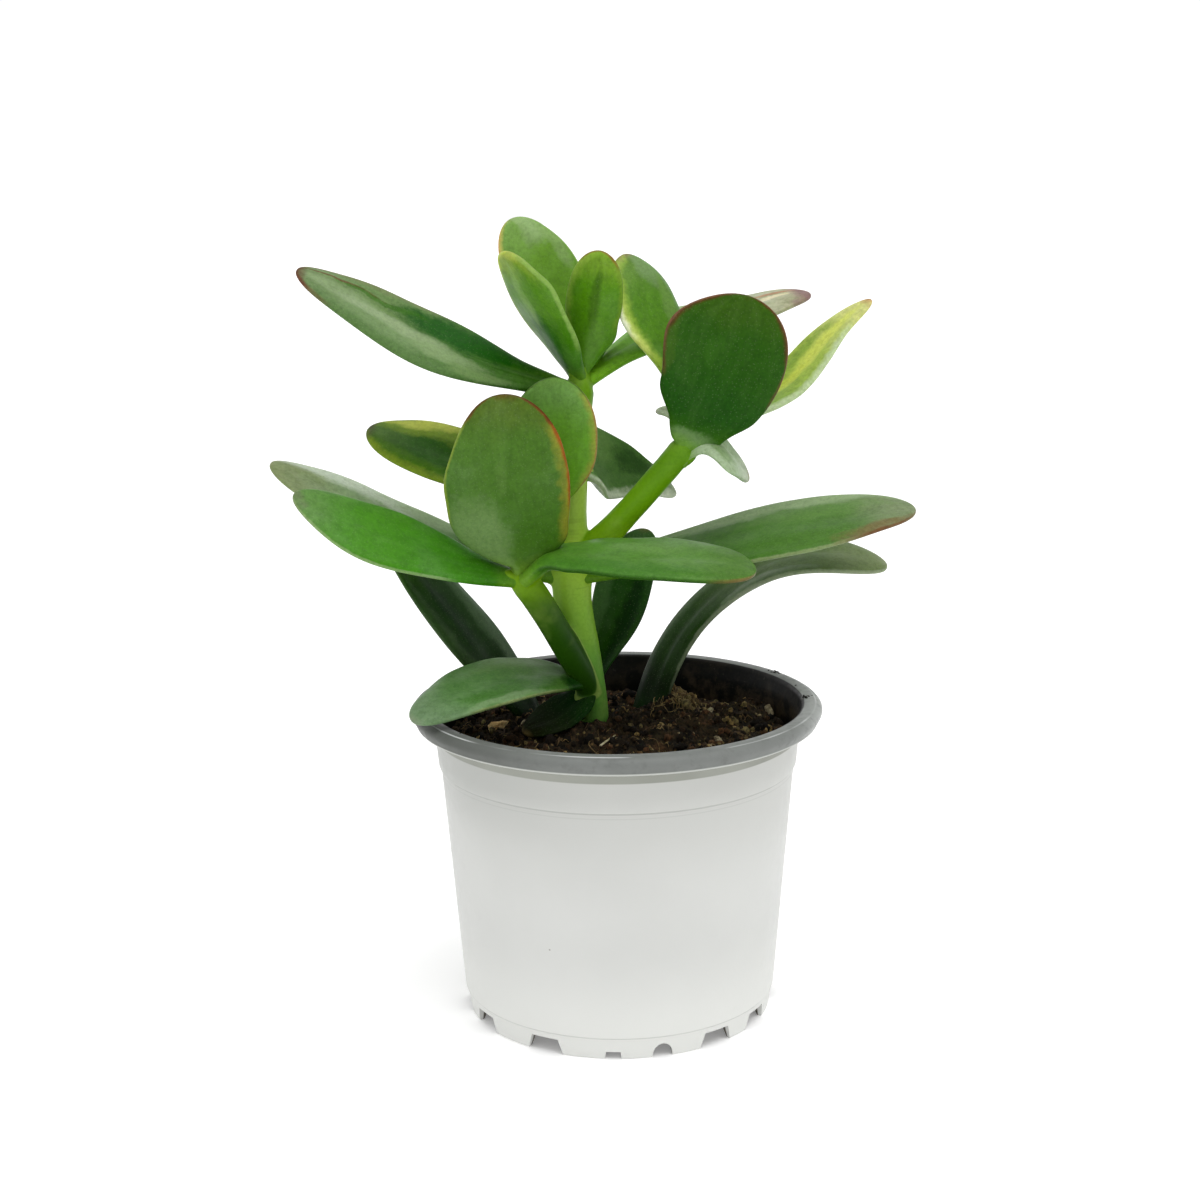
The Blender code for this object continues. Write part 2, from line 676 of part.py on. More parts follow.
    # Leaves round the foot of the stem.
    build_leaf(
        "leaf_behind", place, collar, (78, 62), (7.4, 20, 121.5), (262, 8), 14.5,
        "spoon", "leaf_dark", seat=5,
    )
    build_leaf(
        "leaf_behind_small", place, collar_upper, (122, 44), (-17.4, 17, 96), (300, 30), 9, "small",
        "leaf_pale", seat=5, beside=("leaf_behind",),
    )
    build_leaf(
        "leaf_over_rim", place, collar, (205, 22), (-48.9, -26, 82.9), (278, 77), 23.5,
        "oval", "leaf_bright",
    )
    build_leaf(
        "leaf_on_soil", place, collar, (232, -50), (-26.8, -9, 75.9), (270, 80), 10,
        "small", "leaf_dark",
    )
    build_leaf(
        "leaf_from_soil", place, collar, (5, 77), (70.5, 14, 111.8), (250, 70), 21, "strap", "leaf_dark",
        bow=0.73, twist=-20.0, sink=(7.5, 17.0, 69.0),
    )
    build_leaf(
        "leaf_behind_left", place, collar, (175, 62), (-59.2, 12, 121), (318, 42), 20,
        "long", "leaf_dark",
        bow=0.4, sink=(-21.0, 16.0, 69.0),
    )
    remove_helpers(sleeve)


def build_litter(place):
    """A bark chip, a piece of straw and a pale grain that lie on the soil."""
    random.seed(7)
    for name, centre, size, turn, colour in LITTER:
        mesh_data = bmesh.new()
        bmesh.ops.create_icosphere(mesh_data, subdivisions=1, radius=0.5)
        for vertex in mesh_data.verts:
            vertex.co *= 1.0 + random.uniform(-0.14, 0.14)
            vertex.co = Vector((vertex.co.x * size[0], vertex.co.y * size[1], vertex.co.z * size[2]))
        turned = Matrix.Rotation(math.radians(turn), 3, "Z")
        bmesh.ops.rotate(mesh_data, verts=mesh_data.verts, cent=(0, 0, 0), matrix=turned)
        under = max(
            soil_height(centre[0] + vertex.co.x, centre[1] + vertex.co.y) - vertex.co.z
            for vertex in mesh_data.verts
        )
        bmesh.ops.translate(mesh_data, verts=mesh_data.verts, vec=(centre[0], centre[1], under + LITTER_GAP))
        object_from(name, mesh_data, colour, place)


def main():
    clear_scene()
    place = bpy.data.objects.new("plant_place", None)
    place.location = (POT_PLACE[0] * MM, POT_PLACE[1] * MM, 0.0)
    bpy.context.scene.collection.objects.link(place)
    build_pot(place)
    build_soil(place)
    build_stem(place)
    build_leaves(place)
    build_litter(place)


main()
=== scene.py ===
import math
import random

import bmesh
import bpy
from mathutils import Euler, Matrix, Vector, noise


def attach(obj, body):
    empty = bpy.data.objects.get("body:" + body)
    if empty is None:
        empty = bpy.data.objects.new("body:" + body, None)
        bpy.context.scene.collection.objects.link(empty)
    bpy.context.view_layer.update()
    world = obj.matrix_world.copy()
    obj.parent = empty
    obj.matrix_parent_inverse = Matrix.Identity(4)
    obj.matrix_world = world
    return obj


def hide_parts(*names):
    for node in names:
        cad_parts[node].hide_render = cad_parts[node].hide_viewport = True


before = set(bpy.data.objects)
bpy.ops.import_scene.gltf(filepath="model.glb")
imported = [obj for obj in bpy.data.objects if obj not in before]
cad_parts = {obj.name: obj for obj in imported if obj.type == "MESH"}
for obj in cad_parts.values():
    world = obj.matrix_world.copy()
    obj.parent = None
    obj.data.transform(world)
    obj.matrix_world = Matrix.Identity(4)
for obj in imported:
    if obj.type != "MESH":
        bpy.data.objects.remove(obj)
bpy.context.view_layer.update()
print("frame loaded:", len(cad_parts), "solids")

mm = 0.001
potCentre = Vector((6.3, 0.0, 0.0))   # all places below are in mm from the pot's axis and the ground


# small helpers used by every piece

def tint(red, green, blue):
    # a colour given as 0-255 values, for a shader socket
    linear = [((v / 255 + 0.055) / 1.055) ** 2.4 if v > 10 else v / 255 / 12.92 for v in (red, green, blue)]
    return (*linear, 1.0)


def smoothStep(value):
    value = min(1.0, max(0.0, value))
    return value * value * (3 - 2 * value)


def aim(heading, rise):
    # heading 0 points right, 90 away from the front; rise is above the horizon
    heading, rise = math.radians(heading), math.radians(rise)
    return Vector((math.cos(heading) * math.cos(rise), math.sin(heading) * math.cos(rise), math.sin(rise)))


def clearSelection():
    if bpy.context.object and bpy.context.object.mode != "OBJECT":
        bpy.ops.object.mode_set(mode="OBJECT")
    bpy.ops.object.select_all(action="DESELECT")


def selectOnly(piece):
    clearSelection()
    piece.select_set(True)
    bpy.context.view_layer.objects.active = piece


def applyModifier(piece, kind, **values):
    selectOnly(piece)
    modifier = piece.modifiers.new(kind.lower(), kind)
    for key, value in values.items():
        setattr(modifier, key, value)
    bpy.ops.object.modifier_apply(modifier=modifier.name)


def settle(piece, name):
    # place goes into the mesh, the object ends at the origin
    selectOnly(piece)
    bpy.ops.object.transform_apply(location=True, rotation=True, scale=True)
    piece.name = name
    piece.data.name = name


def inPlace(point):
    # from mm round the pot's axis to the scene
    return (point + potCentre) * mm


def store(mesh, name, kind, values):
    layer = mesh.attributes.new(name, kind, "POINT")
    layer.data.foreach_set("vector" if kind == "FLOAT_VECTOR" else "value", values)


# small helpers for the materials

class Bench:
    # one material's node tree with short ways to add what a finish needs
    def __init__(self, name):
        self.material = bpy.data.materials.new(name)
        self.material.use_nodes = True
        self.tree = self.material.node_tree
        self.shader = self.tree.nodes["Principled BSDF"]
        self.coords = self.node("ShaderNodeTexCoord").outputs["Object"]

    def node(self, kind, **values):
        made = self.tree.nodes.new(kind)
        for key, value in values.items():
            setattr(made, key, value)
        return made

    def put(self, socket, value):
        if isinstance(value, bpy.types.NodeSocket):
            self.tree.links.new(value, socket)
        else:
            socket.default_value = value

    def math(self, operation, first, second=0.0):
        made = self.node("ShaderNodeMath", operation=operation)
        self.put(made.inputs[0], first)
        self.put(made.inputs[1], second)
        return made.outputs[0]

    def plus(self, first, second):
        return self.math("ADD", first, second)

    def minus(self, first, second):
        return self.math("SUBTRACT", first, second)

    def times(self, first, second):
        return self.math("MULTIPLY", first, second)

    def over(self, first, second):
        return self.math("DIVIDE", first, second)

    def away(self, value, middle):
        return self.math("ABSOLUTE", self.minus(value, middle))

    def swing(self, grain, reach):
        # a grain of 0 to 1 as half the reach to both sides of nothing
        return self.times(self.minus(grain, 0.5), reach)

    def span(self, value, low, high, fromValue=0.0, toValue=1.0):
        made = self.node("ShaderNodeMapRange", interpolation_type="SMOOTHSTEP")
        self.put(made.inputs["Value"], value)
        self.put(made.inputs["From Min"], low)
        self.put(made.inputs["From Max"], high)
        self.put(made.inputs["To Min"], fromValue)
        self.put(made.inputs["To Max"], toValue)
        return made.outputs[0]

    def mix(self, amount, first, second, blend="MIX"):
        made = self.node("ShaderNodeMix", data_type="RGBA", blend_type=blend)
        self.put(made.inputs[0], amount)
        self.put(made.inputs[6], first)
        self.put(made.inputs[7], second)
        return made.outputs[2]

    def darken(self, colour, amount, factor):
        return self.mix(amount, colour, self.mix(1.0, colour, (*factor, 1.0), "MULTIPLY"))

    def ramp(self, value, stops):
        made = self.node("ShaderNodeValToRGB")
        self.put(made.inputs[0], value)
        ramp = made.color_ramp
        ramp.interpolation = "EASE"
        while len(ramp.elements) < len(stops):
            ramp.elements.new(0.5)
        for element, (place, colour) in zip(ramp.elements, stops):
            element.position = place
            element.color = colour
        return made.outputs[0]

    def grain(self, scale, detail=3.0, rough=0.5, vector=None):
        made = self.node("ShaderNodeTexNoise")
        self.put(made.inputs["Vector"], vector or self.coords)
        made.inputs["Scale"].default_value = scale
        made.inputs["Detail"].default_value = detail
        made.inputs["Roughness"].default_value = rough
        return made.outputs[0]

    def cells(self, scale):
        made = self.node("ShaderNodeTexVoronoi")
        self.put(made.inputs["Vector"], self.coords)
        made.inputs["Scale"].default_value = scale
        return made

    def specks(self, scale, size, rarity):
        # scattered dots: how far each fades out in its cell, and which cells have one
        cell = self.cells(scale)
        pick = self.node("ShaderNodeSeparateColor")
        self.put(pick.inputs[0], cell.outputs["Color"])
        return self.times(self.span(cell.outputs["Distance"], *size, 1.0, 0.0),
                          self.span(pick.outputs[0], *rarity, 0.0, 0.5))

    def stretch(self, vector, scale):
        made = self.node("ShaderNodeMapping")
        self.put(made.inputs["Vector"], vector)
        made.inputs["Scale"].default_value = scale
        return made.outputs[0]

    def parts(self, vector):
        made = self.node("ShaderNodeSeparateXYZ")
        self.put(made.inputs[0], vector)
        return made.outputs

    def attribute(self, name, output="Fac"):
        return self.node("ShaderNodeAttribute", attribute_name=name).outputs[output]

    def bump(self, height, strength, distance, below=None):
        made = self.node("ShaderNodeBump")
        self.put(made.inputs["Height"], height)
        made.inputs["Strength"].default_value = strength
        made.inputs["Distance"].default_value = distance
        if below is not None:
            self.put(made.inputs["Normal"], below)
        return made.outputs[0]

    def set(self, **values):
        for key, value in values.items():
            self.put(self.shader.inputs[key.replace("_", " ")], value)
        return self.material


# camera, light and floor

cameraSettings = {
    "place": (0.0, -496.8, 217.7),
    "turn": 0.467,      # degrees to the left
    "pitch": 12.556,    # degrees down
    "roll": -0.618,
    "lens": 60.195,
    "sensor": 36.0,
    "nearest": 0.01,
}
cameraData = bpy.data.cameras.new("camera")
camera = bpy.data.objects.new("camera", cameraData)
bpy.context.scene.collection.objects.link(camera)
cameraData.lens = cameraSettings["lens"]
cameraData.sensor_width = cameraSettings["sensor"]
cameraData.clip_start = cameraSettings["nearest"]
camera.matrix_world = (
    Matrix.Translation(inPlace(Vector(cameraSettings["place"])))
    @ Matrix.Rotation(math.radians(cameraSettings["turn"]), 4, "Z")
    @ Matrix.Rotation(math.radians(90 - cameraSettings["pitch"]), 4, "X")
    @ Matrix.Rotation(math.radians(cameraSettings["roll"]), 4, "Z")
)
bpy.context.scene.camera = camera
bpy.context.scene.view_settings.view_transform = "Standard"

lightSettings = {
    "skyTop": 0.5,
    "skyLow": 1.03,
    "skyFade": (0.12, 0.45),    # heights between which the sky changes, 1 straight up
    "lights": {
        # name: direction it comes from (heading, rise), strength, softness in degrees
        "keyLight": ((306, 73), 1.7, 50),
        "fillLight": ((120, 60), 0.6, 100),
    },
}
world = bpy.data.worlds.new("studio")
bpy.context.scene.world = world
world.use_nodes = True
skyNodes, skyLinks = world.node_tree.nodes, world.node_tree.links
skyCoords = skyNodes.new("ShaderNodeTexCoord")
skyPlace = skyNodes.new("ShaderNodeSeparateXYZ")
skyFade = skyNodes.new("ShaderNodeMapRange")
skyFade.interpolation_type = "SMOOTHSTEP"
fadeValues = (*lightSettings["skyFade"], lightSettings["skyLow"], lightSettings["skyTop"])
for socket, value in zip(("From Min", "From Max", "To Min", "To Max"), fadeValues):
    skyFade.inputs[socket].default_value = value
skyLinks.new(skyCoords.outputs["Generated"], skyPlace.inputs[0])
skyLinks.new(skyPlace.outputs[2], skyFade.inputs["Value"])
skyLinks.new(skyFade.outputs[0], skyNodes["Background"].inputs["Strength"])
skyNodes["Background"].inputs["Color"].default_value = (1.0, 1.0, 1.0, 1.0)
for lightName, (direction, strength, softness) in lightSettings["lights"].items():
    lightData = bpy.data.lights.new(lightName, "SUN")
    lightData.energy = strength
    lightData.angle = math.radians(softness)
    light = bpy.data.objects.new(lightName, lightData)
    bpy.context.scene.collection.objects.link(light)
    light.location = aim(*direction)
    light.rotation_euler = aim(*direction).to_track_quat("Z", "Y").to_euler()

floorSettings = {"size": 12.0, "colour": (250, 250, 250), "cloudy": (247, 247, 247), "roughness": 0.9, "glow": 0.2}
clearSelection()
bpy.ops.mesh.primitive_plane_add(size=floorSettings["size"], location=(0, 0, 0))
floor = bpy.context.object
settle(floor, "floor")
bench = Bench("studioFloor")
floorShade = bench.mix(bench.grain(3.0), tint(*floorSettings["colour"]), tint(*floorSettings["cloudy"]))
floor.data.materials.append(bench.set(
    Base_Color=floorShade, Roughness=floorSettings["roughness"], Specular_IOR_Level=0.1,
    Emission_Color=(1.0, 1.0, 1.0, 1.0), Emission_Strength=floorSettings["glow"]))
print("camera, light and floor set")


# the pot: white outside, black inside, a grey rolled rim

pot = {
    "steps": 180,
    "footNotches": [(-59.0, "wide"), (-28.0, "wide"), (-2.4, "small"), (15.5, "arch"), (37.5, "wide")],
    "notchShapes": {
        "wide": [(-5.2, -1.0), (5.2, -1.0), (3.7, 4.1), (-3.7, 4.1)],
        "small": [(-2.2, -1.0), (2.2, -1.0), (1.8, 2.0), (-1.8, 2.0)],
        "arch": [(-2.7, -1), (2.7, -1), (2.5, 1.4), (2.0, 2.6), (1.1, 3.4), (0, 3.7), (-1.1, 3.4), (-2.0, 2.6),
                 (-2.5, 1.4)],
    },
    "notchRadius": 43.0,    # where a notch's cutter starts, and how far it reaches inwards
    "notchDepth": 7.5,
    "drainHoles": 6,
    "drainTurn": 15,
    "drainRadius": 3.0,
    "drainCircle": 27.0,
    "foot": (40.5, 5.8),        # radius and height where the lower and the upper wall start
    "shoulder": (45.3, 65),
    "lowerWall": (4.8, 59.2),   # how much wider over how much height
    "upperWall": (1.6, 11.4),
    "rimTop": 81.0,
    "inner": {"lip": (77, 47.8), "wall": (6.0, 0.45), "floor": (4.9, 38.6)},     # see isInside
    "smooth": 35,               # degrees
    "white": (207, 208, 205),
    "rimGrey": (114, 117, 114),
    "black": (7, 8, 6),
    "lines": [(65.2, 0.35, 0.6), (5.7, 0.3, 0.4), (63.9, 0.2, 0.2)],   # height, half width in mm, strength
}


def wallRadius(height):
    # outside of the wall at a height, without foot and rim
    lower = height < pot["shoulder"][1]
    radius, start = pot["foot"] if lower else pot["shoulder"]
    wider, rise = pot["lowerWall"] if lower else pot["upperWall"]
    return radius + wider * (height - start) / rise


def isInside(radius, height):
    # on the black inner face: above a height inside a radius, and for the wall so far inside its outer face
    lip, wall, bottom = pot["inner"]["lip"], pot["inner"]["wall"], pot["inner"]["floor"]
    if height > lip[0]:
        return radius < lip[1]
    if height > wall[0]:
        return radius < wallRadius(height) - wall[1]
    return height > bottom[0] and radius < bottom[1]


potOutside = [
    (36.8, 4.4), (38.05, 0.25), (38.3, 0.0), (39.1, 0.0), (39.4, 0.25), (39.8, 3.0), (40.05, 5.1), (40.2, 5.5),
    (40.5, 5.85),
]
potOutside += [(wallRadius(6.4 + step * 4.5), 6.4 + step * 4.5) for step in range(13)]
potOutside += [
    (45.28, 64.6), (45.4, 65.0), (45.75, 65.35), (45.95, 65.9), (46.2, 68.5), (46.5, 72.0), (46.8, 75.4),
    (46.95, 76.1), (47.3, 76.5), (48.1, 76.9), (49.0, 76.95), (50.0, 76.5), (50.8, 76.35), (51.3, 76.6),
    (51.55, 77.2), (51.9, 77.9), (52.3, 78.6), (52.45, 79.2), (52.35, 79.75), (51.9, 80.3), (51.2, 80.75),
    (50.3, 81.0), (49.2, 81.0), (48.1, 80.9), (47.6, 80.7), (47.25, 80.3), (47.05, 79.7), (46.8, 78.8),
]
potInside = [(46.3, 77.5), (45.9, 76.0), (45.5, 72.0), (45.1, 67.5), (44.9, 66.0), (44.45, 65.3), (44.25, 64.6)]
potInside += [(wallRadius(height) - 1.0, height) for height in (58, 50, 40, 30, 20, 12)]
potInside += [(39.3, 8.0), (38.9, 6.3), (38.0, 5.4)]
potProfile = [(0.0, 4.4)] + potOutside + potInside + [(0.0, 5.4)]

clearSelection()
bpy.ops.mesh.primitive_plane_add(size=2 * mm, location=(0, 0, 0))
potPiece = bpy.context.object
bpy.ops.object.mode_set(mode="EDIT")
bpy.ops.mesh.delete(type="VERT")
drawing = bmesh.from_edit_mesh(potPiece.data)
potPoints = [drawing.verts.new((radius * mm, 0.0, height * mm)) for radius, height in potProfile]
for lower, upper in zip(potPoints, potPoints[1:]):
    drawing.edges.new((lower, upper))
bmesh.update_edit_mesh(potPiece.data)
bpy.ops.mesh.select_all(action="SELECT")
bpy.ops.mesh.spin(steps=pot["steps"], angle=2 * math.pi, center=(0, 0, 0), axis=(0, 0, 1))
bpy.ops.mesh.select_all(action="SELECT")
bpy.ops.mesh.remove_doubles(threshold=0.00001)
bpy.ops.mesh.normals_make_consistent(inside=False)
bpy.ops.object.mode_set(mode="OBJECT")

cutters = []
for turnAround in (0, 120, 240):
    for angle, shapeName in pot["footNotches"]:
        outline = pot["notchShapes"][shapeName]
        clearSelection()
        bpy.ops.mesh.primitive_cube_add(size=mm, location=(0, 0, 0))
        cutter = bpy.context.object
        bpy.ops.object.mode_set(mode="EDIT")
        bpy.ops.mesh.delete(type="VERT")
        drawing = bmesh.from_edit_mesh(cutter.data)
        drawing.faces.new([drawing.verts.new((x * mm, -pot["notchRadius"] * mm, z * mm)) for x, z in outline])
        bmesh.update_edit_mesh(cutter.data)
        bpy.ops.mesh.select_all(action="SELECT")
        bpy.ops.mesh.extrude_region_move(TRANSFORM_OT_translate={"value": (0, pot["notchDepth"] * mm, 0)})
        bpy.ops.mesh.select_all(action="SELECT")
        bpy.ops.mesh.normals_make_consistent(inside=False)
        bpy.ops.object.mode_set(mode="OBJECT")
        cutter.rotation_euler[2] = math.radians(angle + turnAround)
        cutters.append(cutter)
for number in range(pot["drainHoles"]):
    angle = math.radians(360 / pot["drainHoles"] * number + pot["drainTurn"])
    centre = (pot["drainCircle"] * math.cos(angle) * mm, pot["drainCircle"] * math.sin(angle) * mm, 5 * mm)
    clearSelection()
    bpy.ops.mesh.primitive_cylinder_add(vertices=32, radius=pot["drainRadius"] * mm, depth=6 * mm, location=centre)
    cutters.append(bpy.context.object)
cutterGroup = bpy.data.collections.new("potCutters")
for cutter in cutters:
    for holder in list(cutter.users_collection):
        holder.objects.unlink(cutter)
    cutterGroup.objects.link(cutter)
bpy.context.scene.collection.children.link(cutterGroup)
applyModifier(potPiece, "BOOLEAN", operation="DIFFERENCE", operand_type="COLLECTION", collection=cutterGroup,
              solver="EXACT")
for cutter in cutters:
    bpy.data.objects.remove(cutter, do_unlink=True)
bpy.data.collections.remove(cutterGroup)
potPiece.location = potCentre * mm
settle(potPiece, "potShell")
bpy.ops.object.shade_smooth_by_angle(angle=math.radians(pot["smooth"]))

# where a point of the shell lies: radius and height in mm, and 0 outside or 1 inside
shellPlaces = []
for vertex in potPiece.data.vertices:
    place = vertex.co / mm - potCentre
    radius = math.hypot(place.x, place.y)
    shellPlaces += [radius, place.z, float(isInside(radius, place.z))]
store(potPiece.data, "shellPlace", "FLOAT_VECTOR", shellPlaces)

bench = Bench("potPlastic")
radius, height, inside = bench.parts(bench.attribute("shellPlace", "Vector"))
fromLeft = bench.parts(bench.coords)[0]
cloud = bench.grain(30.0, 4.0)
rub = bench.grain(420.0, 5.0, 0.65)
white = bench.mix(bench.span(cloud, 0.35, 0.7), tint(*pot["white"]), tint(203, 204, 201))
# painted light: the wall is paler towards the foot, where the floor's light falls
white = bench.mix(bench.span(height, 4.0, 30.0, 0.8, 0.0), white, tint(222, 223, 219))
white = bench.mix(bench.span(rub, 0.62, 0.8, 0.0, 0.25), white, tint(205, 206, 200))
# painted shade: the wall is greyer towards the rim, under its shade
white = bench.mix(bench.span(height, 36.0, 70.0, 0.0, 0.7), white, tint(190, 191, 187))
# painted shadow of the rim and leaves on the wall's left top
paintedShadowLeftTop = bench.times(bench.span(fromLeft, -0.04, 0.004, 0.6, 0.0), bench.span(height, 52.0, 70.0))
white = bench.mix(paintedShadowLeftTop, white, tint(166, 168, 164))
white = bench.mix(bench.specks(190.0, (0.035, 0.06), (0.9, 0.93)), white, tint(110, 100, 88))
# thin dark lines at the creases pressed into the wall, the stacking shoulder and the foot: painted shade in these
# creases
heightWander = bench.plus(height, bench.swing(cloud, 0.25))
for lineHeight, lineWidth, lineStrength in pot["lines"]:
    fromLine = bench.away(heightWander, lineHeight)
    white = bench.mix(bench.span(fromLine, lineWidth * 0.4, lineWidth, lineStrength, 0.0), white, tint(150, 151, 147))
# the rim: grey with rubbed spots; painted shade to the left, painted light to the right, and a painted highlight
# along the crest
grey = bench.mix(bench.span(bench.grain(75.0, 4.0), 0.3, 0.7), tint(*pot["rimGrey"]), tint(122, 125, 122))
grey = bench.mix(bench.span(fromLeft, -0.045, 0.002, 0.8, 0.0), grey, tint(68, 71, 65))
grey = bench.mix(bench.span(fromLeft, 0.048, 0.0585, 0.0, 0.8), grey, tint(168, 171, 168))
grey = bench.mix(bench.span(rub, 0.5, 0.72, 0.0, 0.35), grey, tint(96, 98, 95))
paintedCrestHighlight = bench.times(bench.span(bench.away(radius, 50.75), 0.12, 0.3, 0.8, 0.0), bench.span(height, 80.2, 80.6))
paintedCrestHighlight = bench.times(paintedCrestHighlight, bench.span(bench.grain(42.0, 2.0), 0.42, 0.62))
grey = bench.mix(paintedCrestHighlight, grey, tint(208, 210, 210))
# under the rim: a pale lip that is a painted highlight on the roll's lower edge, and a grey-beige band
band = bench.mix(bench.span(cloud, 0.3, 0.7), tint(146, 148, 140), tint(158, 160, 152))
shell = bench.mix(bench.span(heightWander, 72.9, 73.15), white, band)
shell = bench.mix(bench.span(height, 76.15, 76.35), shell, tint(186, 188, 183))
shell = bench.mix(bench.span(height, 76.75, 77.1), shell, grey)
# inside: black, dusty near the soil and most of all at the right
dustReach = bench.times(bench.span(height, 74.0, 79.5, 1.0, 0.25), bench.span(fromLeft, 0.0, 0.035, 0.35, 1.0))
dust = bench.times(bench.span(bench.grain(160.0, 5.0, 0.7), 0.42, 0.66), dustReach)
black = bench.mix(dust, tint(*pot["black"]), tint(60, 50, 38))
black = bench.mix(bench.span(bench.grain(700.0, 3.0, 0.6), 0.62, 0.74, 0.0, 0.3), black, tint(70, 66, 56))
shell = bench.mix(bench.span(inside, 0.2, 0.8), shell, black)
# painted shade on the underside and the inner face of the foot, mottled brown-grey
foot = bench.times(bench.span(radius, 38.25, 38.6, 1.0, 0.0), bench.span(height, 4.6, 5.0, 1.0, 0.0))
paintedFootShade = bench.mix(bench.span(bench.grain(260.0, 4.0), 0.4, 0.6), tint(46, 42, 36), tint(96, 92, 84))
shell = bench.mix(foot, shell, paintedFootShade)
potBump = bench.bump(bench.grain(900.0, 2.0), 0.12, 0.0002)
potBump = bench.bump(bench.grain(26.0, 2.0), 0.25, 0.0006, potBump)
potPiece.data.materials.append(bench.set(
    Base_Color=shell, Normal=potBump, Roughness=bench.span(rub, 0.3, 0.7, 0.34, 0.5), Specular_IOR_Level=0.12))
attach(potPiece, "root")
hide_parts("pot")
print("pot made")


# the soil

soil = {
    "level": 72.0,
    "top": 44.3,            # radius where the surface meets the wall
    "around": 320,
    "rings": 150,
    "topShare": 0.72,       # shares of the rings for the surface and, up to here, the side
    "sideShare": 0.9,
    "side": (70.5, 64.7),   # height where the side starts, and how far it goes down
    "bottom": (37.4, 5.8),  # radius and height
    "reach": 44.9,          # radius to which lumps and clods die down
    "lumps": 1.3,
    "smallLumps": 0.55,
    "colours": [(0.36, (20, 16, 10)), (0.53, (64, 52, 33)), (0.66, (100, 72, 48)), (0.78, (128, 116, 78))],
    "crumbColours": [(0.05, (16, 13, 8)), (0.3, (42, 32, 20)), (0.5, (76, 56, 36)), (0.64, (110, 76, 48)),
                     (0.76, (138, 124, 82)), (0.88, (178, 150, 94)), (0.97, (214, 200, 164))],
    # heaps: x, y, half size x, half size y, height
    "heaps": [(-6.6, 4.0, 21.0, 21.0, 3.4), (20.0, 6.0, 14.0, 12.0, 2.2), (15.0, 19.5, 6.5, 7.0, 4.6),
              (37.0, 22.0, 9.0, 11.0, 2.8), (30.0, 31.0, 9.0, 8.0, -1.6)],
}


def soilHeight(x, y):
    # the lie of the soil: a mound round the stem and heaps to its right, lumps, lower at the wall
    height = sum(high * math.exp(-(((x - hx) / sx) ** 2) - (((y - hy) / sy) ** 2))
                 for hx, hy, sx, sy, high in soil["heaps"])
    lumps = soil["lumps"] * math.sin(0.31 * x + 0.9) * math.sin(0.27 * y + 0.4)
    small = soil["smallLumps"] * math.sin(0.83 * x + 0.5 * y) * math.sin(0.71 * y - 0.4 * x + 1.1)
    edge = min(1.0, math.hypot(x, y) / soil["reach"])
    return soil["level"] + height + (lumps + small) * (1 - 0.6 * edge ** 4) - 0.8 * edge ** 6


def soilTop(x, y):
    # the same with its clods and pits
    point = Vector((x, y, 0.0))
    clods = noise.hetero_terrain(point * 0.3, 0.9, 2.1, 4, 0.6) * 0.6
    pits = 1.5 * (0.5 - abs(noise.noise(point * 0.55))) + 0.9 * (0.5 - abs(noise.noise(point * 1.25)))
    chips = noise.cell(point * 0.9) * 0.25
    edge = min(1.0, math.hypot(x, y) / soil["reach"])
    return soilHeight(x, y) + (clods + pits + chips - 1.5) * (1 - 0.4 * edge ** 5)


def onSoil(x, y, lift):
    return Vector((x, y, soilTop(x, y) + lift))


clearSelection()
bpy.ops.mesh.primitive_uv_sphere_add(segments=soil["around"], ring_count=soil["rings"], radius=1.0,
                                     location=(0, 0, 0))
soilPiece = bpy.context.object
for vertex in soilPiece.data.vertices:
    x, y, z = vertex.co
    ring = math.acos(max(-1.0, min(1.0, z))) / math.pi       # 0 at the top pole, 1 at the bottom pole
    around = math.atan2(y, x)
    bottomRadius, level = soil["bottom"]
    if ring <= soil["topShare"]:
        radius = soil["top"] * ring / soil["topShare"]
        level = soilTop(radius * math.cos(around), radius * math.sin(around))
    elif ring <= soil["sideShare"]:
        share = (ring - soil["topShare"]) / (soil["sideShare"] - soil["topShare"])
        level = soil["side"][0] - soil["side"][1] * share
        radius = min(soil["top"], wallRadius(level) - 1.5) if share <= 0.97 else bottomRadius
    else:
        radius = bottomRadius * (1 - (ring - soil["sideShare"]) / (1 - soil["sideShare"]))
    vertex.co = inPlace(Vector((radius * math.cos(around), radius * math.sin(around), level)))
settle(soilPiece, "soilBody")
bpy.ops.object.shade_smooth()


def soilSkin(name, tone=None):
    # dark peat with brown and reddish clods; a tone from 0 to 1 picks a crumb's own colour
    bench = Bench(name)
    clod = bench.grain(230.0, 6.0, 0.7)
    fine = bench.grain(1100.0, 4.0, 0.75)
    colour = bench.ramp(clod, [(place, tint(*shade)) for place, shade in soil["colours"]])
    if tone:
        toneValue = bench.plus(bench.attribute(tone), bench.swing(fine, 0.12))
        colour = bench.ramp(toneValue, [(place, tint(*shade)) for place, shade in soil["crumbColours"]])
    colour = bench.mix(bench.span(fine, 0.35, 0.6, 0.75, 0.0), colour, tint(20, 15, 9))
    colour = bench.mix(bench.specks(620.0, (0.2, 0.35), (0.84, 0.9)), colour, tint(150, 122, 78))
    soilBump = bench.bump(fine, 0.9, 0.0007)
    soilBump = bench.bump(clod, 0.9, 0.0018, soilBump)
    return bench.set(Base_Color=colour, Normal=soilBump, Roughness=0.92, Specular_IOR_Level=0.2)


soilPiece.data.materials.append(soilSkin("pottingSoil"))
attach(soilPiece, "root")
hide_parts("soil")
print("soil made")


# crumbs, fibres and bits that lie on the soil

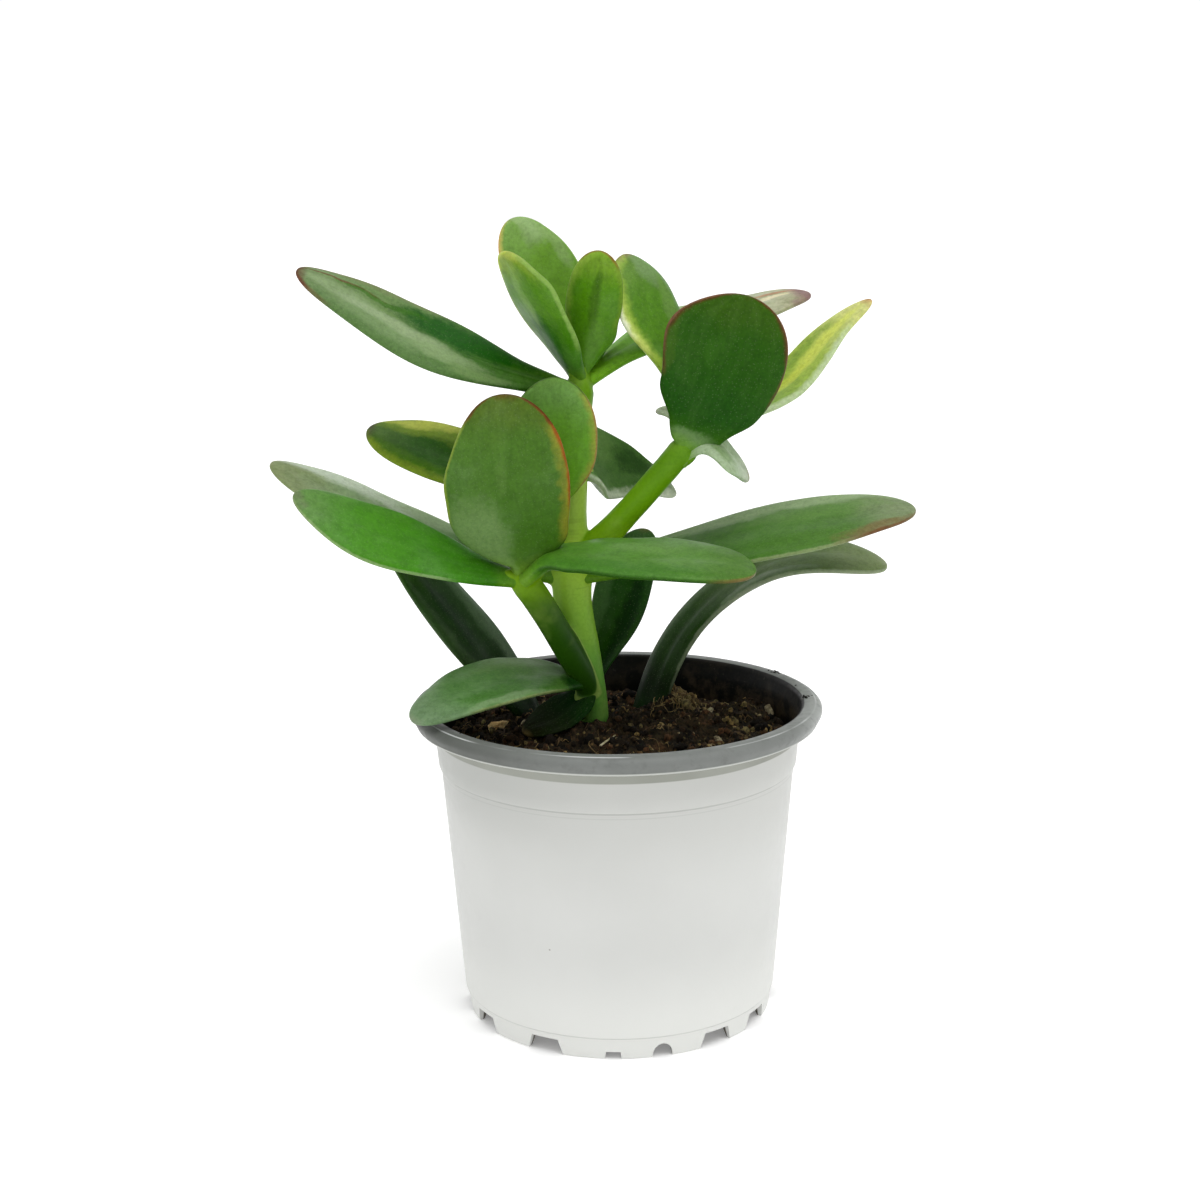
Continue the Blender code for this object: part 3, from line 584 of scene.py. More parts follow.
litter = {
    "seed": 23,
    "crumbs": 1500,
    "reach": 43.2,
    "sizes": (0.35, 0.45, 0.5, 0.6, 0.75, 0.95, 1.25),
    "bigShare": 0.06,           # share of the crumbs that are half as big again
    "tone": (0.36, 0.2),        # middle and spread, from 0 dark to 1 pale
    "paleShare": 0.08,          # share of tan and pale bits, and the same at the right in front
    "paleShareRight": 0.2,
    "keepClear": [(-5.2, 1.5, 4.6), (7.8, 17.0, 4.0), (-21.5, 16.0, 5.0)],   # x, y, radius round the stalks
    # bits placed one by one: x, y, size, tone from 0 dark to 1 pale
    "bits": [
        (24.2, 9.9, 1.5, 0.97), (23.0, 10.6, 0.9, 0.9), (8.8, 26.7, 1.0, 0.93), (10.2, 25.4, 0.7, 0.86),
        (25.3, -9.0, 1.0, 0.95), (37.3, 9.9, 0.9, 0.92), (29.6, 3.9, 1.6, 0.84), (31.0, 4.8, 1.3, 0.8),
        (28.4, 5.0, 1.1, 0.87), (30.2, 2.6, 1.0, 0.9), (32.2, 3.4, 0.9, 0.78), (27.6, 3.0, 0.8, 0.8),
        (20.8, 13.4, 1.2, 0.82), (18.8, 15.2, 1.3, 0.78), (16.8, 17.6, 1.2, 0.8), (33.6, 15.0, 1.0, 0.8),
        (34.8, 0.5, 1.1, 0.74), (38.2, -1.6, 0.9, 0.86), (14.0, 3.4, 0.9, 0.88), (11.4, -3.6, 0.8, 0.9),
        (5.0, -8.2, 0.8, 0.86), (-20.5, -6.5, 0.9, 0.8), (-34.6, 5.4, 1.1, 0.76), (31.8, 24.5, 1.2, 0.7),
    ],
    # the same on the rim
    "rimBits": [
        (42.4, 25.2, 0.55, 0.1), (43.1, 26.0, 0.7, 0.05), (41.7, 25.9, 0.45, 0.2), (43.6, 24.6, 0.4, 0.15),
        (42.6, 27.3, 0.45, 0.1), (41.0, 27.6, 0.4, 0.2), (47.9, 0.6, 0.6, 0.05), (48.5, -0.3, 0.65, 0.1),
        (49.3, 0.9, 0.4, 0.15), (48.1, 2.0, 0.4, 0.1), (50.2, 1.8, 0.35, 0.1), (46.9, 12.1, 0.35, 0.2),
        (-38.0, -30.0, 0.3, 0.2),
    ],
    "fibres": 150,
    "strayReach": 41.0,         # where fibres start, and how far out they lie
    "fibreReach": 43.6,
    "fibreThick": (0.07, 0.15),
    "clump": (17.4, 17.0, 5.2, 150),      # x, y, reach and number of fibres in the golden clump
}
random.seed(litter["seed"])


def lumpShape(number, rough):
    # a rough ball of 35 faces, of radius 1
    clearSelection()
    bpy.ops.mesh.primitive_uv_sphere_add(segments=7, ring_count=5, radius=1.0, location=(0, 0, 0))
    lump = bpy.context.object
    shift = Vector((number * 7.3, number * 3.1, 1.7))
    points = []
    for vertex in lump.data.vertices:
        broad, fine = noise.noise(vertex.co * 1.4 + shift), noise.noise(vertex.co * 3.7 + shift)
        points.append(vertex.co * (1 + rough * broad + 0.4 * rough * fine))
    faces = [tuple(face.vertices) for face in lump.data.polygons]
    mesh = lump.data
    bpy.data.objects.remove(lump, do_unlink=True)
    bpy.data.meshes.remove(mesh)
    return points, faces


def anyPlace(reach):
    radius, around = reach * math.sqrt(random.random()), random.uniform(0, 2 * math.pi)
    return radius * math.cos(around), radius * math.sin(around)


def anyTurn():
    return (random.uniform(0, 6), random.uniform(0, 6), random.uniform(0, 6))


def joinedPiece(pieceName, points, faces, tones, material, slot, smooth=True):
    # many small bodies as one mesh on one object, with a tone for each point
    mesh = bpy.data.meshes.new(pieceName)
    mesh.from_pydata([inPlace(point) for point in points], [], faces)
    piece = bpy.data.objects.new(pieceName, mesh)
    bpy.context.scene.collection.objects.link(piece)
    store(mesh, "tone", "FLOAT", tones)
    mesh.materials.append(material)
    if smooth:
        selectOnly(piece)
        bpy.ops.object.shade_smooth()
    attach(piece, "root")
    return piece


def addLump(bag, shape, place, size, turn, tone):
    points, faces, tones = bag
    first = len(points)
    spin = Euler(turn).to_matrix()
    for point in shape[0]:
        points.append(place + spin @ Vector((point.x * size[0], point.y * size[1], point.z * size[2])))
    faces.extend(tuple(first + corner for corner in face) for face in shape[1])
    tones.extend([tone] * len(shape[0]))


def addTube(bag, route, radii, tone, sides=6, flat=1.0):
    # a closed tube along the points of a route
    points, faces, tones = bag
    first = len(points)
    for step, (place, radius) in enumerate(zip(route, radii)):
        ahead = (route[min(step + 1, len(route) - 1)] - route[max(step - 1, 0)]).normalized()
        side = ahead.cross(Vector((0.13, 0.21, 1.0))).normalized()
        over = side.cross(ahead)
        for turn in range(sides):
            angle = 2 * math.pi * turn / sides
            points.append(place + side * (radius * math.cos(angle)) + over * (radius * flat * math.sin(angle)))
    for step in range(len(route) - 1):
        for turn in range(sides):
            a, b = first + step * sides + turn, first + step * sides + (turn + 1) % sides
            faces.append((a, b, b + sides, a + sides))
    faces.append(tuple(first + turn for turn in reversed(range(sides))))
    faces.append(tuple(first + (len(route) - 1) * sides + turn for turn in range(sides)))
    tones.extend([tone] * (len(route) * sides))


lumpShapes = [lumpShape(number, 0.55) for number in range(9)]
crumbBag = ([], [], [])
made = 0
while made < litter["crumbs"]:
    x, y = anyPlace(litter["reach"])
    size = random.choice(litter["sizes"]) * random.uniform(0.8, 1.25)
    if random.random() < litter["bigShare"]:
        size *= 1.5
    tone = min(1.0, max(0.0, random.gauss(*litter["tone"])))
    if random.random() < litter["paleShareRight" if x > 8 and y < 22 else "paleShare"]:
        tone, size = random.uniform(0.72, 0.98), size * 0.6
    shape = random.choice(lumpShapes)
    turn = anyTurn()
    squash = (random.uniform(0.8, 1.3), random.uniform(0.7, 1.1), random.uniform(0.45, 0.9))
    if any(math.hypot(x - cx, y - cy) < reach + size for cx, cy, reach in litter["keepClear"]):
        continue
    made += 1
    if math.hypot(x, y) + size > litter["reach"] + 0.6:      # smaller at the wall
        size *= 0.6
    addLump(crumbBag, shape, onSoil(x, y, size * 0.15), [size * share for share in squash], turn, tone)
for x, y, size, tone in litter["bits"]:
    turn = anyTurn()
    place = onSoil(x, y, size * 0.45)
    addLump(crumbBag, random.choice(lumpShapes), place, (size, size * 0.75, size * 0.5), turn, tone)
for x, y, size, tone in litter["rimBits"]:
    turn = (0.0, 0.0, random.uniform(0, 6))
    place = Vector((x, y, pot["rimTop"]))
    addLump(crumbBag, random.choice(lumpShapes), place, (size, size * 0.6, size * 0.3), turn, tone)
joinedPiece("soilCrumbs", *crumbBag, soilSkin("crumbSoil", "tone"), "soil")


def fibreRoute(x, y, heading, length, arch, curl):
    # nine points in an arch over the soil, kept off the pot's wall
    route = []
    for step in range(9):
        share = step / 8
        angle = heading + curl * (share - 0.5)
        x2 = x + math.cos(angle) * length * share
        y2 = y + math.sin(angle) * length * share
        reach, limit = math.hypot(x2, y2), litter["fibreReach"]
        if reach > limit:
            x2, y2 = x2 * limit / reach, y2 * limit / reach
        route.append(Vector((x2, y2, soilTop(x2, y2) + 0.25 + arch * math.sin(math.pi * share))))
    return route


fibreBag = ([], [], [])
clumpX, clumpY, clumpReach, clumpCount = litter["clump"]
for number in range(litter["fibres"] + clumpCount):
    if number < litter["fibres"]:
        x, y = anyPlace(litter["strayReach"])
        length, arch = random.uniform(2.0, 6.0), random.uniform(0.1, 0.7)
        tone = random.uniform(0.45, 0.9)
    else:
        dx, dy = anyPlace(clumpReach)
        x, y = clumpX + dx, clumpY + dy
        length, arch = random.uniform(2.0, 5.5), random.uniform(0.1, 1.3)
        tone = random.uniform(0.55, 0.95)
    route = fibreRoute(x, y, random.uniform(0, 2 * math.pi), length, arch, random.uniform(-2.2, 2.2))
    thick = random.uniform(*litter["fibreThick"])
    radii = [thick * (0.55 + 0.45 * math.sin(math.pi * (0.12 + 0.76 * step / 8))) for step in range(9)]
    addTube(fibreBag, route, radii, tone, sides=5)
# one dark fibre lies across the rim
route = [Vector((47.6 + 0.55 * step, 0.2 + 0.5 * step, 81.05 - 0.012 * step * step)) for step in range(8)]
addTube(fibreBag, route, [0.16] * 8, 0.12, sides=5)
bench = Bench("fibreSkin")
fibreColour = bench.ramp(bench.attribute("tone"), [(0.1, tint(28, 22, 16)), (0.5, tint(92, 70, 40)),
                                                   (0.75, tint(142, 116, 66)), (0.95, tint(186, 164, 112))])
fibreColour = bench.mix(bench.span(bench.grain(900.0, 3.0), 0.35, 0.65, 0.55, 0.0), fibreColour, tint(46, 34, 20))
joinedPiece("rootFibres", *fibreBag, bench.set(Base_Color=fibreColour, Roughness=0.8), "straw")


def litterSkin(name, settings):
    bench = Bench(name)
    scale = settings["grain"]
    patch = bench.grain(scale, 5.0, 0.65)
    colour = bench.mix(bench.span(patch, 0.36, 0.62), tint(*settings["dark"]), tint(*settings["light"]))
    colour = bench.mix(bench.span(bench.grain(scale * 3, 3.0), 0.55, 0.7, 0.0, 0.5), colour, tint(60, 46, 28))
    bump = bench.bump(patch, 0.7, 0.0006)
    return bench.set(Base_Color=colour, Normal=bump, Roughness=0.85)


def lyingLump(pieceName, slot, shape, skinName, settings):
    bag = ([], [], [])
    addLump(bag, shape, onSoil(*settings["place"]), settings["size"], settings["turn"], 0.5)
    return joinedPiece(pieceName, *bag, litterSkin(skinName, settings), slot, False)


# place: x, y and how high the middle is above the soil
barkChip = {
    "place": (-30.8, 1.8, 1.3), "size": (2.6, 2.0, 2.3), "turn": (0.3, -0.25, 0.5),
    "light": (250, 220, 162), "dark": (200, 160, 100), "grain": 420.0,
}
chip = lyingLump("barkChip", "bark", lumpShape(21, 0.7), "barkSkin", barkChip)
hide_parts("bark_chip")

strawPiece = {
    "main": [(-4.2, -18.4), (-3.2, -16.6), (-2.1, -14.8), (-1.3, -12.8), (-0.5, -10.6)],
    "fork": [(-2.1, -14.9), (-1.1, -14.2), (0.1, -13.2), (1.0, -12.3)],
    "thick": {"main": 0.34, "fork": 0.2},
    "light": (214, 206, 170), "dark": (158, 146, 104), "grain": 700.0,
}
twigBag = ([], [], [])
for routeName, thick in strawPiece["thick"].items():
    route = [onSoil(x, y, 0.75) for x, y in strawPiece[routeName]]
    level = sum(point.z for point in route) / len(route)
    for point in route:
        point.z = 0.3 * point.z + 0.7 * level + 0.35
    addTube(twigBag, route, [thick * (1 - 0.12 * step) for step in range(len(route))], 0.5, sides=8, flat=0.7)
twig = joinedPiece("strawPiece", *twigBag, litterSkin("strawSkin", strawPiece), "straw")
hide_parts("straw_piece")

gritGrain = {
    "place": (40.2, 15.6, 1.2), "size": (1.9, 0.8, 1.8), "turn": (0.2, 0.15, -0.9),
    "light": (186, 172, 140), "dark": (122, 106, 78), "grain": 500.0, "taper": 0.62,
}
gritPoints, gritFaces = lumpShape(5, 0.35)
for point in gritPoints:
    point.x *= 1.0 - gritGrain["taper"] * max(0.0, point.z)
grit = lyingLump("gritGrain", "grit", (gritPoints, gritFaces), "gritSkin", gritGrain)
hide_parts("grit_grain")
print("litter made")


# leaves

# outline of a leaf, as shares of its length and width: neck at the root, place of the widest point, taper to
# the root, how blunt the tip is, thickness in mm
leafShapes = {
    "disc": (0.19, 0.50, 0.60, 2.1, 3.7),
    "long": (0.27, 0.56, 1.35, 1.9, 3.6),
    "spoon": (0.24, 0.62, 1.50, 2.3, 3.5),
    "blunt": (0.33, 0.68, 1.20, 2.6, 3.6),
    "oval": (0.24, 0.54, 1.10, 1.75, 3.5),
    "pointed": (0.26, 0.55, 1.20, 1.20, 3.2),
    "drop": (0.48, 0.36, 0.80, 1.00, 3.4),
    "strap": (0.46, 0.80, 5.50, 2.3, 3.5),
    "small": (0.42, 0.55, 0.90, 1.9, 2.4),
    "round": (0.18, 0.61, 0.60, 2.0, 3.7),
    "tongue": (0.40, 0.68, 1.00, 2.3, 2.4),
}


def leafHalfWidth(shape, share):
    neck, belly, taper, blunt = shape[:4]
    if share < belly:
        return neck + (1 - neck) * (1 - (1 - share / belly) ** 2) ** taper
    past = min(1.0, (share - belly) / (1 - belly))
    return math.sqrt(max(0.0, 1 - past ** blunt))


def hump(share, middle, reach):
    # 1 at the middle, easing to 0 at the reach on both sides
    away = min(1.0, abs(share - middle) / reach)
    return 0.5 + 0.5 * math.cos(math.pi * away)


# what a leaf has where its own dictionary in the table says nothing else
plainLeaf = {
    "bow": 0.45,            # how far the first direction is kept, as a share of the length
    "inset": 1.2,           # mm that the root lies under the stem's surface, and how much deeper the blade starts
    "deeper": 1.6,
    "stalk": 0.0,           # share of the length that stays as narrow as the neck
    "collar": 1.0,          # size of the stem's swelling round the neck
    "twist": 0.0,           # degrees
    "cup": 0.8,             # mm that the margins stand up
    "channel": 0.35, "swell": 0.5, "waver": 0.45,    # mm: groove above, slow swells, wavy margin
    "bulges": [],           # side, place along, reach, mm wider
    "bends": [],            # place along, reach, mm that the blade is moved
    "streaks": 0.05, "bloom": 0.12, "bloomColour": (132, 160, 118),
    "neck": (100, 144, 40), "neckStrength": 0.75,
    "tipColour": ((130, 110, 70), 0.94, 0.7),        # colour, from, strength
    "patches": [],          # colour, middle and half size along, middle and half size across, strength
    # colour, width in mm, side (-1, 1 or 0 for both), from, to along the leaf, strength, and for some which part
    # of the round edge: its middle and half size, from -1 under to 1 upper
    "margins": [],
    "rough": 0.42, "shine": 0.12,
}
leafFaces = (48, 60)        # round a leaf and along it
leafRound = 2 / 2.35        # lower is a boxier cross-section
leafNecks = []              # where the stem grows a collar: root, direction, face, half width and half thickness


def growLeaf(pieceName, leaf):
    # a ball drawn out along the leaf's bend, flattened and cupped
    shape = leafShapes[leaf["shape"]]
    neck, belly, thick = shape[0], shape[1], shape[4]
    width, stalk = leaf["width"], leaf["stalk"]
    start, up = aim(*leaf["start"]), aim(*leaf["face"])
    neckThick = leaf.get("neckThick", min(3.4, 0.2 * width))
    if "sunk" in leaf:
        root = Vector(leaf["sunk"])
    else:
        *axis, reach = leaf["joint"]
        root = Vector(axis) + aim(leaf["start"][0], leaf.get("seat", leaf["start"][1])) * (reach - leaf["inset"])
        if leaf["collar"] > 0:
            neckFace = (up - start * up.dot(start)).normalized()
            leafNecks.append((root.copy(), start, neckFace, width / 2 * neck * leaf["collar"],
                              neckThick / 2 * leaf["collar"]))
    tip = Vector(leaf["tip"])
    elbow = root + start * (tip - root).length * leaf["bow"]
    root -= start * leaf["deeper"]
    clearSelection()
    bpy.ops.mesh.primitive_uv_sphere_add(segments=leafFaces[0], ring_count=leafFaces[1], radius=1.0,
                                         location=(0, 0, 0))
    piece = bpy.context.object
    places, edges = [], []
    seed = Vector((leaf["tip"][0], leaf["tip"][1], width)) * 0.37
    for vertex in piece.data.vertices:
        x, y, z = vertex.co
        share = min(1.0, max(0.0, (1 + z) / 2))
        span = math.hypot(x, y)
        c, s = (x / span, y / span) if span > 1e-6 else (0.0, 0.0)
        across = math.copysign(abs(c) ** leafRound, c)
        through = math.copysign(abs(s) ** leafRound, s)
        middle = root * (1 - share) ** 2 + elbow * (2 * share * (1 - share)) + tip * share ** 2
        along = ((elbow - root) * (1 - share) + (tip - elbow) * share).normalized()
        face = (up - along * up.dot(along)).normalized()
        face = Matrix.Rotation(math.radians(leaf["twist"] * (share - 0.5)), 3, along) @ face
        side = along.cross(face)
        half = leafHalfWidth(shape, max(0.0, (share - stalk) / (1 - stalk)))
        wide = width / 2 * half
        for bulgeSide, bulgePlace, bulgeReach, more in leaf["bulges"]:
            wide += max(0.0, c * bulgeSide) ** 0.5 * more * hump(share, bulgePlace, bulgeReach) * min(1.0, half * 1.6)
        for bendPlace, bendReach, bendMove in leaf["bends"]:
            middle = middle + Vector(bendMove) * hump(share, bendPlace, bendReach)
        if share < belly:
            deep = (neckThick + (thick - neckThick) * smoothStep(share / belly)) / 2
        else:
            deep = thick / 2 * half ** 0.6
        lift = leaf["cup"] * smoothStep(share * 2.2) * smoothStep((1 - share) * 3)
        slow = noise.noise(Vector((share * 3.1, across * 1.4, 0.0)) + seed)
        wave = noise.noise(Vector((share * 4.5, 3.0 * c, 7.0)) + seed)
        ends = smoothStep(share * 4) * smoothStep((1 - share) * 6)
        channel = leaf["channel"] * math.exp(-(across / 0.2) ** 2) * ends if s > 0 else 0.0
        wide *= 1 + 0.035 * wave * ends
        rise = deep * through + lift * (across * across - 0.5) + leaf["swell"] * slow * ends - channel
        rise += leaf["waver"] * wave * ends * across * across
        vertex.co = inPlace(middle + side * (wide * across) + face * rise)
        places += [share, across, s]
        edges.append(wide * (1 - abs(across)) + (1 - min(1.0, share * 3)) * 0.4)
    store(piece.data, "leafPlace", "FLOAT_VECTOR", places)
    store(piece.data, "leafEdge", "FLOAT", edges)
    settle(piece, pieceName)
    bpy.ops.object.shade_smooth()
    bpy.ops.object.mode_set(mode="EDIT")
    bpy.ops.mesh.select_all(action="SELECT")
    bpy.ops.mesh.normals_make_consistent(inside=False)
    bpy.ops.object.mode_set(mode="OBJECT")
    piece.data.materials.append(leafSkin(pieceName + "Skin", leaf))
    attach(piece, "root")
    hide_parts(leaf["node"])


def leafTint(red, green, blue):
    # a leaf colour as it looks; the wax adds a little grey light to it
    return (*[max(0.0012, v - 0.009) for v in tint(red, green, blue)[:3]], 1.0)


def leafSkin(name, leaf):
    # wax over green flesh: colour along the leaf, patches, coloured margins, haze and pores; some patches and margins
    # in the table are painted highlights and painted shade
    bench = Bench(name)
    leafPlace = bench.attribute("leafPlace", "Vector")
    along, across, upper = bench.parts(leafPlace)
    edge = bench.attribute("leafEdge")
    wander = bench.minus(bench.grain(120.0, 3.0), 0.5)
    alongDrift = bench.plus(along, bench.times(wander, 0.16))
    acrossDrift = bench.plus(across, bench.times(wander, 0.5))
    colour = bench.ramp(alongDrift, [(place, leafTint(*shade))
                                     for place, shade in zip((0.04, 0.3, 0.72, 0.97), leaf["colours"])])
    fine = bench.grain(1250.0, 2.0, 0.6)
    mist = bench.grain(620.0, 4.0, 0.7)
    # faint streaks and cloudy bloom in the flesh
    streak = bench.grain(1.0, 4.0, 0.6, bench.stretch(leafPlace, (2.4, 4.5, 1.0)))
    colour = bench.mix(bench.span(streak, 0.42, 0.7, 0.0, leaf["streaks"]), colour, leafTint(136, 170, 104))
    bloom = bench.grain(95.0, 4.0, 0.55)
    colour = bench.mix(bench.span(bloom, 0.48, 0.72, 0.0, leaf["bloom"]), colour, leafTint(*leaf["bloomColour"]))
    colour = bench.mix(bench.span(bench.grain(330.0, 5.0, 0.65), 0.35, 0.6, 0.16, 0.0), colour, leafTint(36, 70, 14))
    for patchColour, alongMiddle, alongHalf, acrossMiddle, acrossHalf, strength in leaf["patches"]:
        first = bench.over(bench.minus(alongDrift, alongMiddle), alongHalf)
        second = bench.over(bench.minus(acrossDrift, acrossMiddle), acrossHalf)
        reach = bench.plus(bench.times(first, first), bench.times(second, second))
        broken = bench.plus(bench.plus(reach, bench.swing(streak, 0.7)), bench.swing(mist, 1.1))
        colour = bench.mix(bench.span(broken, 0.1, 1.1, strength, 0.0), colour, leafTint(*patchColour))
    tipColour, tipFrom, tipStrength = leaf["tipColour"]
    tipMask = bench.span(alongDrift, tipFrom, tipFrom + 0.06, 0.0, tipStrength)
    colour = bench.mix(tipMask, colour, leafTint(*tipColour))
    neckMask = bench.span(alongDrift, 0.03, 0.14, leaf["neckStrength"], 0.0)
    colour = bench.mix(neckMask, colour, leafTint(*leaf["neck"]))
    for lineColour, lineWidth, lineSide, fromShare, toShare, strength, *part in leaf["margins"]:
        ragged = bench.plus(edge, bench.swing(bench.grain(420.0, 3.0), lineWidth * 1.1))
        mask = bench.span(ragged, lineWidth * 0.15, lineWidth * 1.05, strength, 0.0)
        mask = bench.times(mask, bench.span(alongDrift, fromShare - 0.06, fromShare + 0.04))
        mask = bench.times(mask, bench.span(alongDrift, toShare - 0.04, toShare + 0.06, 1.0, 0.0))
        if lineSide:
            mask = bench.times(mask, bench.span(bench.times(across, float(lineSide)), -0.1, 0.1))
        if part:
            mask = bench.times(mask, bench.span(bench.away(upper, part[0]), part[1] * 0.5, part[1], 1.0, 0.0))
        colour = bench.mix(mask, colour, leafTint(*lineColour))
    # fine mottling and tiny pale pores
    colour = bench.mix(bench.span(fine, 0.3, 0.72, 0.0, 0.16), colour, leafTint(190, 206, 150), "SOFT_LIGHT")
    colour = bench.darken(colour, bench.span(mist, 0.36, 0.56, 0.34, 0.0), (0.6, 0.66, 0.5))
    colour = bench.darken(colour, bench.span(fine, 0.34, 0.6, 0.36, 0.0), (0.62, 0.66, 0.55))
    pores = bench.cells(1500.0).outputs["Distance"]
    colour = bench.mix(bench.span(pores, 0.12, 0.3, 0.05, 0.0), colour, tint(198, 214, 170))
    skinBump = bench.bump(pores, 0.12, 0.00012)
    skinBump = bench.bump(bench.grain(260.0, 4.0, 0.6), 0.2, 0.0005, skinBump)
    rough = bench.span(bench.grain(180.0, 4.0), 0.3, 0.7, leaf["rough"] - 0.06, leaf["rough"] + 0.1)
    return bench.set(Base_Color=colour, Normal=skinBump, Roughness=rough, Specular_IOR_Level=leaf["shine"],
                     Subsurface_Weight=0.08, Subsurface_Radius=(0.5, 1.0, 0.2), Subsurface_Scale=0.0015)


